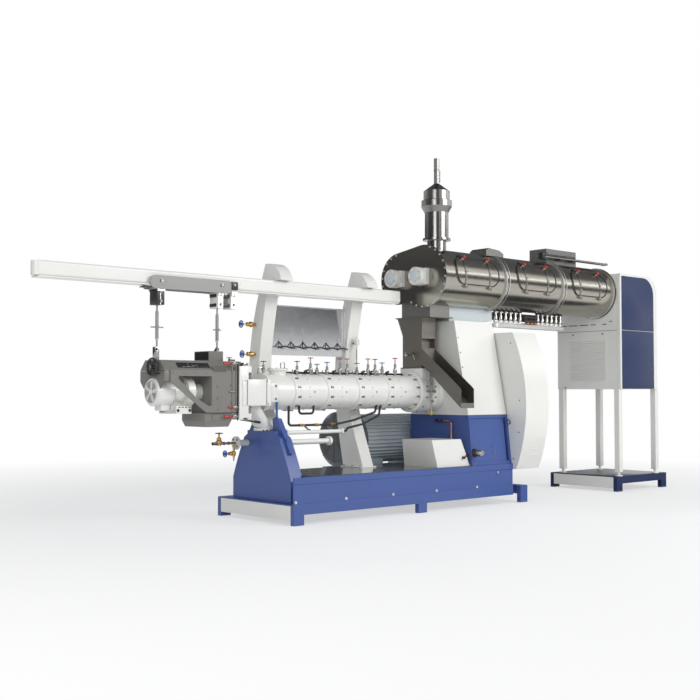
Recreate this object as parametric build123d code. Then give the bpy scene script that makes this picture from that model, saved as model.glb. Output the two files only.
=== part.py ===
from build123d import *
import math
import os

# Screw extruder line for feed and food pellets: a jacketed screw barrel on a welded base,
# a two-shaft steam conditioner above its inlet, and a knife unit hung from an overhead rail.
# Lengths are millimetres. While modelling, x runs along the barrel away from the die,
# y runs away from the operator with 0 on the barrel axis, and z is the height above the floor.

# Base
BASE_HALF = 690
FRAME_TOP = 216
BEAM_BOTTOM = 109
DECK_Z = 500
END_FRAME_LEN = 257
FOOT_LEN = 137
FOOT_DEPTH = 60
BEAM_END = 3560
BEAM_BACK = 305
MID_FOOT_X = 1859
DECK_INSET = 14
DECK_END_GAP = 2
OUTRIGGER_X = 3707
SKIRT_STEP = 8
SKIRT_SHEET = 20
SKIRT_LOW_FOLD = 222
SKIRT_HIGH_FOLD = 425
PLATE = 12
DECK_SHEET = 6
PANEL_SHEET = 8
PANEL_LOW = 48
SEAT = 0.3

# Pedestal under the die end
PEDESTAL_X = 92
PEDESTAL_LEN = 165
PEDESTAL_HALF = 522
PEDESTAL_SHOULDER = 450
PEDESTAL_WAIST = 400
PEDESTAL_WAIST_Z = 740
PEDESTAL_NECK = 315
PEDESTAL_NECK_Z = 905
CAP_HALF = 255
CAP_TOP = 980
CAP_STEP = 35
KNOB_R = 22
KNOB_OUT = 55
GUSSET_X = (150, 210)
GUSSET_TOP = 1116
GUSSET_OUT = 40
JACK_Y = 168
JACK_R = 14

# Screw barrel
AXIS_Z = 1405
BARREL_START = 62
SEGMENT = 480
FIRST_SEGMENT = 390
SEGMENTS = 5
FLANGE_R = 214
JACKET_R = 200
FLANGE_LEN = 34
HEAD_R = 252
HEAD_LEN = 320
BEARING_R = 235
PORT_HALF = 95
PORT_X = 317
PORT_TOP = 1642
PORT_LID = 24
FLANGE_STEP = 10
HEAD_LIP = 20
HEAD_TAPER = 40
THROAT_MARGIN = 20
HOUSING_NECK = 40

# Valves, hoses and pipes round the barrel
VALVE_Y = -40
VALVE_R = 15
VALVE_BODY_R = 23
STEM_R = 8
WHEEL_R = 34
WHEEL_SHEET = 9
VALVES = (
    (86, 1746),
    (564, 1755),
    (762, 1799),
    (859, 1727),
    (1011, 1752),
    (1212, 1797),
    (1322, 1799),
    (1478, 1749),
    (1659, 1806),
    (1774, 1803),
    (1892, 1762),
    (2111, 1822),
)
LINE_R = 13
LINE_ANGLE = 16
LINE_START = 440
LINE_END = 2330
HOSE_R = 13
HOSE_Y = -120
HOSE_LOW = 1032
MANIFOLD_Y = -215
MANIFOLD_HIGH = 957
MANIFOLD_HIGH_R = 22
MANIFOLD_HIGH_END = 1088
MANIFOLD_LOW = 852
MANIFOLD_LOW_R = 30
MANIFOLD_LOW_END = 906
STEAM_Y = 250
STEAM_Z = 840
STEAM_DISC_X = -80
STEAM_DISC_R = 68
STEAM_VALVE_X = -298
STEAM_DRAIN_X = -217
STEAM_DRAIN_Z = 725
COLUMN_VALVE_Y = 340
COLUMN_VALVES = ((60, 2171), (75, 1833))
REGULATOR_X = 1668
REGULATOR_Y = 170
REGULATOR_LOW = 1680
REGULATOR_HIGH = 2070

# Die block and its flange
BLOCK_LEN = 298
BLOCK_HALF = 193
BLOCK_LOW = 1255
BLOCK_HIGH = 1557
DIE_PLATE_LEN = 42
DIE_PLATE_HALF = 262
DIE_PLATE_LOW = 1107
DIE_PLATE_HIGH = 1682
GASKET_LEN = 16
ELBOW_R = 120
ELBOW_FOOT_R = 100
ELBOW_FOOT_X = 130
ELBOW_FLANGE = 30
BLOCK_CHAMFER = 24
BLOCK_RIB = 14
DIE_PLATE_CHAMFER = 70
DIE_CIRCLE_R = 110
DIE_HOLE_R = 12
DIE_HOLES = 8

# Gearbox, cover and guard
BOX_X = 2820
BOX_LEN = 740
BOX_FRONT_LOW = 668
BOX_FRONT_HIGH = 600
BOX_BACK = 400
BOX_TOP = 1120
COVER_LEN = 720
COVER_FRONT = 370
COVER_TOP = 2300
COVER_BACK = 380
DOOR_PANEL_EDGE = 40
DOOR_PANEL_DEEP = 14
CHANNEL_WIDTH = 34
CHANNEL_DEEP = 60
RING_R = 34
RING_WIRE = 5
GUARD_TOP_EDGE = 120
GUARD_SHOULDER = 1330
GUARD_LEN = 450
GUARD_TOP = 2165
GUARD_LOW = 430
GUARD_BULGE = 905
GUARD_EDGE = 740
GUARD_BACK = 1090
GUARD_EDGE_STEP = 50

# Oil pump cover, filter and pipes
PUMP_X = 2529
PUMP_Y = -345
PUMP_LEN = 570
PUMP_DEPTH = 560
PUMP_TOP = 831
PUMP_TOP_X = 2432
PUMP_TOP_LEN = 511
PUMP_TOP_DEPTH = 500
COPPER_R = 9
COPPER_X = 2772
COPPER_Y = (-70, -349)
COPPER_Z = 1060
FILTER_X = 2875
FILTER_Z = 660
FILTER_R = 34
FILTER_OUT = 120
DRAIN_X = (2466, 2502)
DRAIN_Y = -276
DRAIN_R = 9
DRAIN_LOW = 1122

# Main motor
MOTOR_Y = 720
MOTOR_Z = 810
MOTOR_R = 315
MOTOR_BODY_R = 293
MOTOR_SHAFT_R = 45
MOTOR_SHAFT_LEN = 260
MOTOR_LEN = 1250
FAN_LEN = 270
FAN_R = 345
MOTOR_FOOT = 40
MOTOR_FINS = 40
MOTOR_FIN_SHEET = 9
MOTOR_FOOT_LEN = 200
MOTOR_FOOT_HALF = 270
MOTOR_FOOT_INSET = 120
MOTOR_FOOT_HIGH = 110
RUNNER_SPREAD = 230
RUNNER_WIDTH = 120
RUNNER_LAP = 210

# Bow columns and overhead rail
COLUMN_X = (260, 1565)
COLUMN_LEN = 170
RAIL_LEFT = -2625
RAIL_RIGHT = 2187
RAIL_HALF = 55
RAIL_LOW = 2500
RAIL_HIGH = 2650
TRACK_HALF = 78
TRACK_SHEET = 12
SPLASH_Y = 290
SPLASH_LOW = 1830
SPLASH_HIGH = 2406
SPLASH_LIP = 40
SHELF_Z = 1929
SHELF_DEPTH = 84
SHELF_SHEET = 10
HOOK_FIRST = 556
HOOK_PITCH = 180
HOOKS = 6
HOOK_RISE = 64
HOOK_SHEET = 5
STRIP_TOP = 2155
RAIL_CORNER = 24
TRACK_INSET = 40
COLUMN_FOOT = (-55, 300)
COLUMN_TOP_Y = (-134, 154)
COLUMN_BELLY = ((134, 990), (232, 1330), (262, 1700), (206, 2149))
COLUMN_BACK = ((281, 2515), (420, 1990), (455, 1600), (400, 1000))
COLUMN_CHIN_Y = 140
COLUMN_BROW = (-60, 2775)
COLUMN_RIDGE_Y = 63
COLUMN_RIDGE_FALL = 7
COLUMN_CROWN = 2852

# Feed chute
CHUTE_X = 2450
CHUTE_LEN = 236
CHUTE_HALF = 168
CHUTE_LOW = 1711
HOPPER_TOP = 2326
HOPPER_FLARE = 216
BYPASS_END_Y = 815
BYPASS_TOP = 1940
BYPASS_ROOT = 1742
BYPASS_LIP_TOP = 1440
BYPASS_LIP_LOW = 1212
BYPASS_LIP = 60
POCKET_Z = (1950, 2069)
POCKET_DEEP = 70
HOPPER_HALF = 220
HOPPER_SHIFT = 40
RIM_SHEET = 14
RIM_OUT = 20
RIM_RIGHT = 2850
RIM_FRONT = -330
RIM_BACK = 275
NECK_LEN = 340
NECK_FRONT = -310
NECK_BACK = 182
SHEET = 5

# Conditioner
COND_X = 2390
COND_Z = 2830
BIG_Y = -255
BIG_R = 350
SMALL_Y = 170
SMALL_R = 285
COND_SHEET = 6
HEAD_MARGIN = 42
HEAD_SHEET = 14
RING_PITCH = 1188
RING_OUT = 18
SHAFT_R = 55
PADDLE_TIP_GAP = 24
PADDLE_PITCH = 148
PADDLE_WIDTH = 60
PADDLE_TURN = 55
DOOR_FIRST = 3010
DOOR_PITCH = 1171
DOORS = 3
DOOR_LEN = 800
DOOR_LOW_ANGLE = 198
DOOR_HIGH_ANGLE = 136
HINGE_ANGLE = 201
HINGE_OUT = 26
PIN_R = 6
EYE_R = 13
PIN_CLEARANCE = 0.4
LUG_SHEET = 8
LUG_GAP = 1
DOOR_SHEET = 5
DOOR_LAP = 30
DOOR_CORNER = 150
DOOR_GAP = 5
STRAP_OFFSET = 225
STRAP_WIDTH = 34
STRAP_SHEET = 8
LATCH_R = 20
LATCH_OUT = 46
BEARING_CAP_R = 112
BEARING_OUT = 150
BEARING_FOOT = 60
BEARING_DROP = 6
BEARING_PLATE = 100
PLINTH_X = 2860
PLINTH_END = 3680
PLINTH_FRONT = -250
PLINTH_BACK = 120
PLINTH_STEP_X = 3500
PLINTH_STEP_Z = 2330
LID_X = 3400
LID_LEN = 340
LID_Y = (-400, -120)
LID_LOW = 3160
LID_HIGH = 3262
INLET_X = 4730
INLET_LEN = 670
INLET_Y = (-330, -40)
INLET_TOP = 3375
GATE_X = (4564, 6050)
GATE_Z = 3240
GATE_Y = (-400, -329)
GATE_BAR = 20
GATE_ROD_R = 14
GATE_HEAD = 60
NOZZLE_FIRST = (3740, 4620)
NOZZLE_PITCH = 100
NOZZLES = 6
NOZZLE_R = 24
NOZZLE_LOW = 2318
NOZZLE_PIPE_R = 14
TRAY_X = (3740, 5120)
TRAY_LOW = 2258
TRAY_HALF = 55

# Vent stack
STACK_X = 2632
STACK_NECK_R = 118
STACK_R = 149
STACK_BULGE_R = 192
STACK_CAP_R = 165
VENT_R = 34
VENT_TOP = 4325
STACK_FLANGE_OUT = 25
STACK_FLANGE_Z = (3290, 3318)
STACK_SHOULDER = 3640
STACK_BULGE_Z = (3715, 3790)
STACK_CAP_Z = (3800, 3909)
VENT_LOW = 4007

# Drive housing on its stand
STAND_X = 5867
STAND_LEN = 1264
STAND_FRONT = -661
STAND_BACK = 500
STAND_TOP = 213
LEG = 80
LEG_X = (5935, 6855)
LEG_Y = (-661, 308)
HOUSING_X = 5958
HOUSING_LEN = 925
HOUSING_FRONT = -682
HOUSING_BACK = 420
HOUSING_LOW = 1448
HOUSING_TOP = 3095
HOUSING_CORNER_R = 240
LEG_SCREW_R = 20
LEG_SCREW_LEN = 60
LEG_PAD_R = 52
LEG_PAD_SHEET = 15

# Knife unit hung from the rail
KNIFE_GAP = 6
HOOD_LEFT = -1300
CHAMBER_LEFT = -740
POST_HEIGHT = 135
BOX_HEIGHT = 107
HOOD_HALF = 230
HOOD_UP = 325
HOOD_DOWN = 219
HOOD_SHEET = 8
HOPPER_LOW = 1040
TROLLEY_LEFT = -1384
TROLLEY_RIGHT = -372
TROLLEY_PLATE = 8
TROLLEY_LOW = 2456
TROLLEY_HIGH = 2593
ROLLER_R = 38
ROD_X = (-1250, -505)
ROD_R = 9
CUTTER_MOTOR_X = -1316
CUTTER_MOTOR_R = 147
KNIFE_R = 165
KNIVES = 6
HANDWHEEL_R = 98
HANDWHEEL_RIM = 12
HANDWHEEL_HUB_R = 18
HANDWHEEL_HUB = 14
WHEEL_OUT = 50
SCREW_R = 8
SIDE_LEFT = -1236
SIDE_CORNER_Z = 1511
SIDE_KNEE_X = -801
SIDE_LOW = 1191
SIDE_GAP_X = (-1135, -734)
SIDE_GAP_Z = (1262, 1566)
SIDE_GAP_CORNER_Z = 1537
SIDE_GAP_BEND = (-931, 1350)
SIDE_GAP_KNEE_X = -775
HOOD_SHOULDER = 100
HOOD_BEVEL = 90
POST_X = (-1285, -1235)
POST_HALF = 22
LOAD_BOX_X = (-648, -468)
LOAD_BOX_Y = (-60, 215)
DROP_MARGIN = 70
DROP_HALF = 150
OUTLET_X = -633
OUTLET_LEN = 342
OUTLET_DEPTH = 420
OUTLET_COLLAR = 80
OUTLET_TAPER = 30
OUTLET_WALL = 36
SIDE_SHEET = 8
HUB_R = 50
BLADE_SHEET = 8
BLADE_WIDTH = 44
BLADE_PITCH = 25
BLADE_GAP = 50
CUTTER_COWL = 205
CUTTER_BODY_R = 122
CUTTER_DRUM = (-960, -876)
CUTTER_NECK_R = 90
CUTTER_FOOT_X = (-1115, -935)
CUTTER_FOOT_HALF = 165
CUTTER_FOOT_Z = (1180, 1262)
CUTTER_FOOT_SHEET = 14
TERMINAL_X = (-1230, -1130)
TERMINAL_HALF = 62
TERMINAL_DROP = 192
TROLLEY_CORNER = 60
TROLLEY_GAP = 8
ROLLER_X = (-1243, -512)
ROLLER_GAP = 6
HANGER_X = ((-1295, -1205), (-545, -480), (-375, -300))
HANGER_HALF = (67, 76, 76)
STRAP_BAR_Z = (2315, 2415)
STRAP_BAR = 30
HANGER_LOW = 2296
HANGER_LAP = 24
TURNBUCKLE_R = 17
TURNBUCKLE_Z = (1940, 2224)
CROSSBAR_R = 7
CROSSBAR_HALF = 60
CROSSBAR_Z = 2070
HANDWHEEL_Y = -73
HANDWHEEL_Z = 1656

GUARD_X = BOX_X + BOX_LEN
MOTOR_X = GUARD_X - MOTOR_SHAFT_LEN - MOTOR_LEN
HOPPER_WAIST = HOPPER_TOP - HOPPER_FLARE
COND_RIGHT = HOUSING_X
BARREL_END = BARREL_START + FIRST_SEGMENT + (SEGMENTS - 1) * SEGMENT
DIE_FACE = BARREL_START - BLOCK_LEN - DIE_PLATE_LEN - GASKET_LEN
BIG_DROP = COND_Z - BIG_R
NODES = {}


# Shape helpers
def block(x0, x1, y0, y1, z0, z1):
    return Pos((x0 + x1) / 2, (y0 + y1) / 2, (z0 + z1) / 2) * Box(x1 - x0, y1 - y0, z1 - z0)


def rod_x(r, x0, x1, y, z):
    return Pos((x0 + x1) / 2, y, z) * Rot(0, 90, 0) * Cylinder(r, x1 - x0)


def rod_y(r, y0, y1, x, z):
    return Pos(x, (y0 + y1) / 2, z) * Rot(90, 0, 0) * Cylinder(r, y1 - y0)


def rod_z(r, z0, z1, x, y):
    return Pos(x, y, (z0 + z1) / 2) * Cylinder(r, z1 - z0)


def slab_x(outline, x0, x1):
    # A y-z outline carried along x
    face = Plane(origin=(x0, 0, 0), x_dir=(0, 1, 0), z_dir=(1, 0, 0)) * outline
    return extrude(face, x1 - x0)


def slab_y(outline, y0, y1):
    # An x-z outline carried along y
    face = Plane(origin=(0, y1, 0), x_dir=(1, 0, 0), z_dir=(0, -1, 0)) * outline
    return extrude(face, y1 - y0)


def poly(*points):
    return make_face(Polyline(*points, close=True))


def turned_x(points, y, z):
    # A profile of (x, radius) points turned about an x axis
    face = make_face(Polyline(*points, close=True))
    return Pos(0, y, z) * revolve(face, Axis.X, 360)


def turned_z(points, x, y):
    # A profile of (radius, height) points turned about an upright axis
    face = Plane.XZ * make_face(Polyline(*points, close=True))
    return Pos(x, y, 0) * revolve(face, Axis.Z, 360)


def tube(r, bends, *points):
    path = FilletPolyline(*points, radius=bends)
    start = Plane(origin=path @ 0, z_dir=path % 0)
    return sweep(start * Circle(r), path=path)


def add(name, *solids):
    NODES[name] = list(solids)


# Base: a box beam with a folded front skirt, a cross frame at each end and its feet
def base():
    skirt_in = BASE_HALF - SKIRT_STEP
    outline = poly(
        (-BASE_HALF, BEAM_BOTTOM),
        (BEAM_BACK, BEAM_BOTTOM),
        (BEAM_BACK, DECK_Z),
        (-BASE_HALF, DECK_Z),
        (-BASE_HALF, SKIRT_HIGH_FOLD + SKIRT_STEP),
        (-skirt_in, SKIRT_HIGH_FOLD),
        (-skirt_in, SKIRT_LOW_FOLD + SKIRT_STEP),
        (-BASE_HALF, SKIRT_LOW_FOLD),
    )
    inner = -BASE_HALF + SKIRT_SHEET
    beam = slab_x(outline, 0, BEAM_END)
    beam -= block(-1, END_FRAME_LEN, inner, BEAM_BACK + 1, 0, DECK_Z + 1)
    add("base_beam", beam)
    left = block(PANEL_SHEET, END_FRAME_LEN, inner, BASE_HALF, BEAM_BOTTOM, FRAME_TOP)
    left += block(0, END_FRAME_LEN, inner, BASE_HALF, FRAME_TOP - PLATE, FRAME_TOP)
    right = block(OUTRIGGER_X, OUTRIGGER_X + FOOT_LEN, -BASE_HALF, BASE_HALF, BEAM_BOTTOM, FRAME_TOP)
    right += block(BEAM_END, OUTRIGGER_X, -BEAM_BACK, BEAM_BACK, BEAM_BOTTOM, FRAME_TOP)
    add("cross_frames", left, right)
    add("base_feet", *feet(inner))
    half = BASE_HALF - FOOT_DEPTH
    add("base_end_panel", block(0, PANEL_SHEET, -half, half, PANEL_LOW, FRAME_TOP - PLATE))
    x0 = PEDESTAL_X + PEDESTAL_LEN + DECK_END_GAP
    deck = block(x0, BOX_X - DECK_END_GAP, -BASE_HALF + DECK_INSET, BEAM_BACK, DECK_Z, DECK_Z + DECK_SHEET)
    add("base_deck", deck)


def feet(inner):
    solids = []
    for x in (0, OUTRIGGER_X):
        for y in (-BASE_HALF, BASE_HALF - FOOT_DEPTH):
            foot = block(x, x + FOOT_LEN, y, y + FOOT_DEPTH, 0, BEAM_BOTTOM)
            if x == 0:
                y0 = max(y, inner)
                foot += block(x, x + PANEL_SHEET, y0, y + FOOT_DEPTH, BEAM_BOTTOM, FRAME_TOP - PLATE)
            solids.append(foot)
    for y in (-BASE_HALF, BEAM_BACK - FOOT_DEPTH):
        solids.append(block(MID_FOOT_X, MID_FOOT_X + FOOT_LEN, y, y + FOOT_DEPTH, 0, BEAM_BOTTOM))
    return solids


# Motor frame: two runners on pads, tied to each other and to the main beam
def motor_frame():
    w = RUNNER_WIDTH
    x0 = MOTOR_X - RUNNER_LAP
    x1 = GUARD_X
    top = MOTOR_Z - MOTOR_R - MOTOR_FOOT
    near = MOTOR_Y - RUNNER_SPREAD - w / 2
    far = MOTOR_Y + RUNNER_SPREAD - w / 2
    frame = block(x0, x1, near, near + w, BEAM_BOTTOM, top)
    frame += block(x0, x1, far, far + w, BEAM_BOTTOM, top)
    for x in (x0 + w, x1 - 8 * w):
        frame += block(x, x + w, BEAM_BACK, far, BEAM_BOTTOM, top)
    for y in (near, far):
        for x in (x0, x1 - 2 * w):
            frame += block(x, x + w, y, y + w, 0, BEAM_BOTTOM)
    add("motor_frame", frame)


# Pedestal: a bell outline with a stepped cap, and the saddle that carries the barrel
def pedestal():
    right = [
        Line((0, FRAME_TOP), (PEDESTAL_HALF, FRAME_TOP)),
        Line((PEDESTAL_HALF, FRAME_TOP), (PEDESTAL_HALF, PEDESTAL_SHOULDER)),
        ThreePointArc(
            (PEDESTAL_HALF, PEDESTAL_SHOULDER),
            (PEDESTAL_WAIST, PEDESTAL_WAIST_Z),
            (PEDESTAL_NECK, PEDESTAL_NECK_Z),
        ),
        Line((PEDESTAL_NECK, PEDESTAL_NECK_Z), (CAP_HALF, PEDESTAL_NECK_Z + CAP_STEP)),
        Line((CAP_HALF, PEDESTAL_NECK_Z + CAP_STEP), (CAP_HALF, CAP_TOP)),
        Line((CAP_HALF, CAP_TOP), (0, CAP_TOP)),
        Line((0, CAP_TOP), (0, FRAME_TOP)),
    ]
    half = make_face(right)
    body = slab_x(half + mirror(half, Plane.YZ), PEDESTAL_X, PEDESTAL_X + PEDESTAL_LEN)
    mid = PEDESTAL_X + PEDESTAL_LEN / 2
    reach = PEDESTAL_NECK + KNOB_OUT
    body += rod_y(KNOB_R, -reach, reach, mid, PEDESTAL_NECK_Z - KNOB_R)
    for side in (-1, 1):
        gusset = poly(
            (side * (JACK_Y - GUSSET_OUT), CAP_TOP - 1),
            (side * (JACK_Y - GUSSET_OUT), GUSSET_TOP),
            (side * (JACK_Y + GUSSET_OUT), GUSSET_TOP),
            (side * (CAP_HALF + GUSSET_OUT), CAP_TOP),
            (side * (PEDESTAL_NECK + GUSSET_OUT), PEDESTAL_NECK_Z - KNOB_R),
            (side * (PEDESTAL_WAIST + GUSSET_OUT), PEDESTAL_WAIST_Z),
            (side * (PEDESTAL_NECK - GUSSET_OUT), PEDESTAL_WAIST_Z),
        )
        body += slab_x(gusset, *GUSSET_X)
        jack = rod_z(JACK_R, GUSSET_TOP - 1, AXIS_Z, mid, side * JACK_Y)
        jack += rod_z(1.6 * JACK_R, GUSSET_TOP, GUSSET_TOP + JACK_R, mid, side * JACK_Y)
        body += jack - rod_x(JACKET_R + SEAT, GUSSET_X[0], GUSSET_X[1], 0, AXIS_Z)
    add("pedestal", body)


# Barrel: each segment is a jacketed tube between two bolted flanges
def segment(x0, x1):
    profile = [
        (x0, 0),
        (x0, FLANGE_R),
        (x0 + FLANGE_LEN, FLANGE_R),
        (x0 + FLANGE_LEN + FLANGE_STEP, JACKET_R),
        (x1 - FLANGE_LEN - FLANGE_STEP, JACKET_R),
        (x1 - FLANGE_LEN, FLANGE_R),
        (x1, FLANGE_R),
        (x1, 0),
    ]
    return turned_x(profile, 0, AXIS_Z)


def barrel():
    x0 = BARREL_START
    x1 = BARREL_START + FIRST_SEGMENT
    bodies = []
    for index in range(SEGMENTS):
        bodies.append(segment(x0, x1 - SEAT))
        x0 = x1
        x1 = x1 + SEGMENT
    bodies[0] += rod_z(PORT_HALF, AXIS_Z, PORT_TOP, PORT_X, 0)
    bodies[0] += rod_z(PORT_HALF + PORT_LID, PORT_TOP, PORT_TOP + PORT_LID, PORT_X, 0)
    add("barrel_segments", *bodies)
    end = BARREL_END + HEAD_LEN
    head = turned_x(
        [
            (BARREL_END, 0),
            (BARREL_END, HEAD_R - HEAD_LIP),
            (BARREL_END + HEAD_LIP, HEAD_R),
            (end - HEAD_TAPER, HEAD_R),
            (end, HEAD_R - HEAD_TAPER),
            (end, 0),
        ],
        0,
        AXIS_Z,
    )
    half = CHUTE_HALF + THROAT_MARGIN
    x0 = CHUTE_X - THROAT_MARGIN
    x1 = CHUTE_X + CHUTE_LEN
    head += block(x0, x1, -half, half, AXIS_Z, CHUTE_LOW - RIM_SHEET)
    add("feed_head", head)
    housing = turned_x(
        [
            (end, 0),
            (end, BEARING_R - HOUSING_NECK),
            (end + HOUSING_NECK, BEARING_R),
            (BOX_X - SEAT, BEARING_R),
            (BOX_X - SEAT, 0),
        ],
        0,
        AXIS_Z,
    )
    add("bearing_housing", housing)


# Valves on the barrel: each stands on the flange or the jacket that is under it
def barrel_radius(x):
    joints = [BARREL_START, BARREL_END]
    joints += [BARREL_START + FIRST_SEGMENT + SEGMENT * index for index in range(SEGMENTS)]
    reach = FLANGE_LEN + FLANGE_STEP + VALVE_R
    near = min(abs(x - joint) for joint in joints)
    return FLANGE_R if near < reach else JACKET_R


def valve(x, top):
    foot = AXIS_Z + barrel_radius(x) - VALVE_BODY_R
    body = foot + (top - foot) * 0.4
    shape = turned_z(
        [
            (0, foot),
            (VALVE_R, foot),
            (VALVE_R, body - VALVE_BODY_R),
            (VALVE_BODY_R, body - VALVE_R),
            (VALVE_BODY_R, body),
            (STEM_R, body + VALVE_BODY_R),
            (STEM_R, top - WHEEL_SHEET),
            (WHEEL_R, top - WHEEL_SHEET),
            (WHEEL_R, top),
            (0, top),
        ],
        x,
        VALVE_Y,
    )
    return shape - rod_x(barrel_radius(x) + SEAT, x - WHEEL_R, x + WHEEL_R, 0, AXIS_Z)


# Hoses: a line that lies on the flanges, and three looped hoses under the jackets
def barrel_hoses():
    turn = math.radians(LINE_ANGLE)
    out = FLANGE_R + LINE_R + SEAT
    y = out * math.sin(turn)
    z = AXIS_Z + out * math.cos(turn)
    solids = [rod_x(LINE_R, LINE_START, LINE_END, y, z)]
    top = AXIS_Z - math.sqrt(JACKET_R**2 - HOSE_Y**2) + HOSE_R
    low = HOSE_LOW
    y = HOSE_Y
    left = [(380, y, top), (380, y, low)]
    right = [(1070, y, low), (1360, y, low + 45), (1700, y, low + 135), (1720, y, top)]
    short = [(530, y, top), (530, y, low + 130), (740, y, low + 130), (740, y, top)]
    start = MANIFOLD_HIGH_END + SEAT
    lower = [(start, MANIFOLD_Y, MANIFOLD_HIGH), (start + 60, MANIFOLD_Y, MANIFOLD_HIGH)]
    lower += [(start + 170, y, low - 45), (1500, y, low - 5), (1760, y, low + 95), (1790, y, top)]
    for points in (left + right, short, lower):
        hose = tube(HOSE_R, 3 * HOSE_R, *points)
        solids.append(hose - rod_x(JACKET_R + SEAT, 0, BARREL_END, 0, AXIS_Z))
    add("barrel_hoses", *solids)


# Steam manifold: two pipes with end flanges that leave the pedestal
def steam_manifold():
    x0 = PEDESTAL_X + PEDESTAL_LEN + SEAT
    solids = []
    for r, end, z in (
        (MANIFOLD_HIGH_R, MANIFOLD_HIGH_END, MANIFOLD_HIGH),
        (MANIFOLD_LOW_R, MANIFOLD_LOW_END, MANIFOLD_LOW),
    ):
        pipe = rod_x(r, x0, end, MANIFOLD_Y, z)
        pipe += rod_x(1.7 * r, end - r, end, MANIFOLD_Y, z)
        pipe += rod_x(1.7 * r, x0, x0 + r, MANIFOLD_Y, z)
        solids.append(pipe)
    add("steam_manifold", *solids)


# Steam valves: the inlet group at the pedestal, two on a column, and the regulator
def steam_valves():
    y = STEAM_Y
    z = STEAM_Z
    disc_end = STEAM_DISC_X + VALVE_BODY_R
    group = rod_x(VALVE_BODY_R, disc_end, PEDESTAL_X - SEAT, y, z)
    group += rod_x(STEAM_DISC_R, STEAM_DISC_X, disc_end, y, z)
    group += rod_x(VALVE_R, STEAM_VALVE_X - 2 * WHEEL_R, STEAM_DISC_X, y, z)
    group += turned_z(
        [
            (0, z),
            (1.2 * VALVE_BODY_R, z),
            (1.2 * VALVE_BODY_R, z + VALVE_BODY_R),
            (STEM_R, z + 2 * VALVE_BODY_R),
            (STEM_R, z + 3 * WHEEL_R - WHEEL_SHEET),
            (1.2 * WHEEL_R, z + 3 * WHEEL_R - WHEEL_SHEET),
            (1.2 * WHEEL_R, z + 3 * WHEEL_R),
            (0, z + 3 * WHEEL_R),
        ],
        STEAM_VALVE_X,
        y,
    )
    drain_x = STEAM_DISC_X - VALVE_BODY_R
    group += rod_z(VALVE_R, STEAM_DRAIN_Z - WHEEL_R, z, drain_x, y)
    group += rod_x(VALVE_BODY_R, drain_x - VALVE_BODY_R, drain_x + VALVE_BODY_R, y, STEAM_DRAIN_Z)
    group += rod_x(STEM_R, STEAM_DRAIN_X, drain_x, y, STEAM_DRAIN_Z)
    group += rod_x(1.2 * WHEEL_R, STEAM_DRAIN_X, STEAM_DRAIN_X + WHEEL_SHEET, y, STEAM_DRAIN_Z)
    solids = [group]
    for x, z in COLUMN_VALVES:
        stem = rod_x(STEM_R, x, COLUMN_X[0] - SEAT, COLUMN_VALVE_Y, z)
        stem += rod_x(VALVE_BODY_R, x + 2 * VALVE_BODY_R, COLUMN_X[0] - SEAT, COLUMN_VALVE_Y, z)
        stem += rod_x(1.2 * WHEEL_R, x, x + WHEEL_SHEET, COLUMN_VALVE_Y, z)
        solids.append(stem)
    regulator = rod_z(STEM_R, REGULATOR_LOW, REGULATOR_HIGH, REGULATOR_X, REGULATOR_Y)
    regulator += rod_z(WHEEL_R, REGULATOR_HIGH - 2 * WHEEL_R, REGULATOR_HIGH, REGULATOR_X, REGULATOR_Y)
    bracket = rod_y(VALVE_R, REGULATOR_Y, SPLASH_Y, REGULATOR_X, REGULATOR_HIGH - WHEEL_R)
    regulator += bracket - slab_x(column_outline(), *column_span(1))
    solids.append(regulator)
    add("steam_valves", *solids)


# Black sealing strips round the cutting face
def gasket_strips(face_x):
    inner = KNIFE_R + PORT_LID
    y = DIE_PLATE_HALF - PLATE
    low = DIE_PLATE_LOW + DIE_PLATE_CHAMFER
    high = DIE_PLATE_HIGH - DIE_PLATE_CHAMFER
    x = face_x - GASKET_LEN
    return [
        block(x, face_x, -y, -inner, low, high),
        block(x, face_x, inner, y, low, high),
        block(x, face_x, 1 - inner, inner - 1, AXIS_Z + inner, high),
        block(x, face_x, 1 - inner, inner - 1, low, AXIS_Z - inner),
    ]


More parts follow.
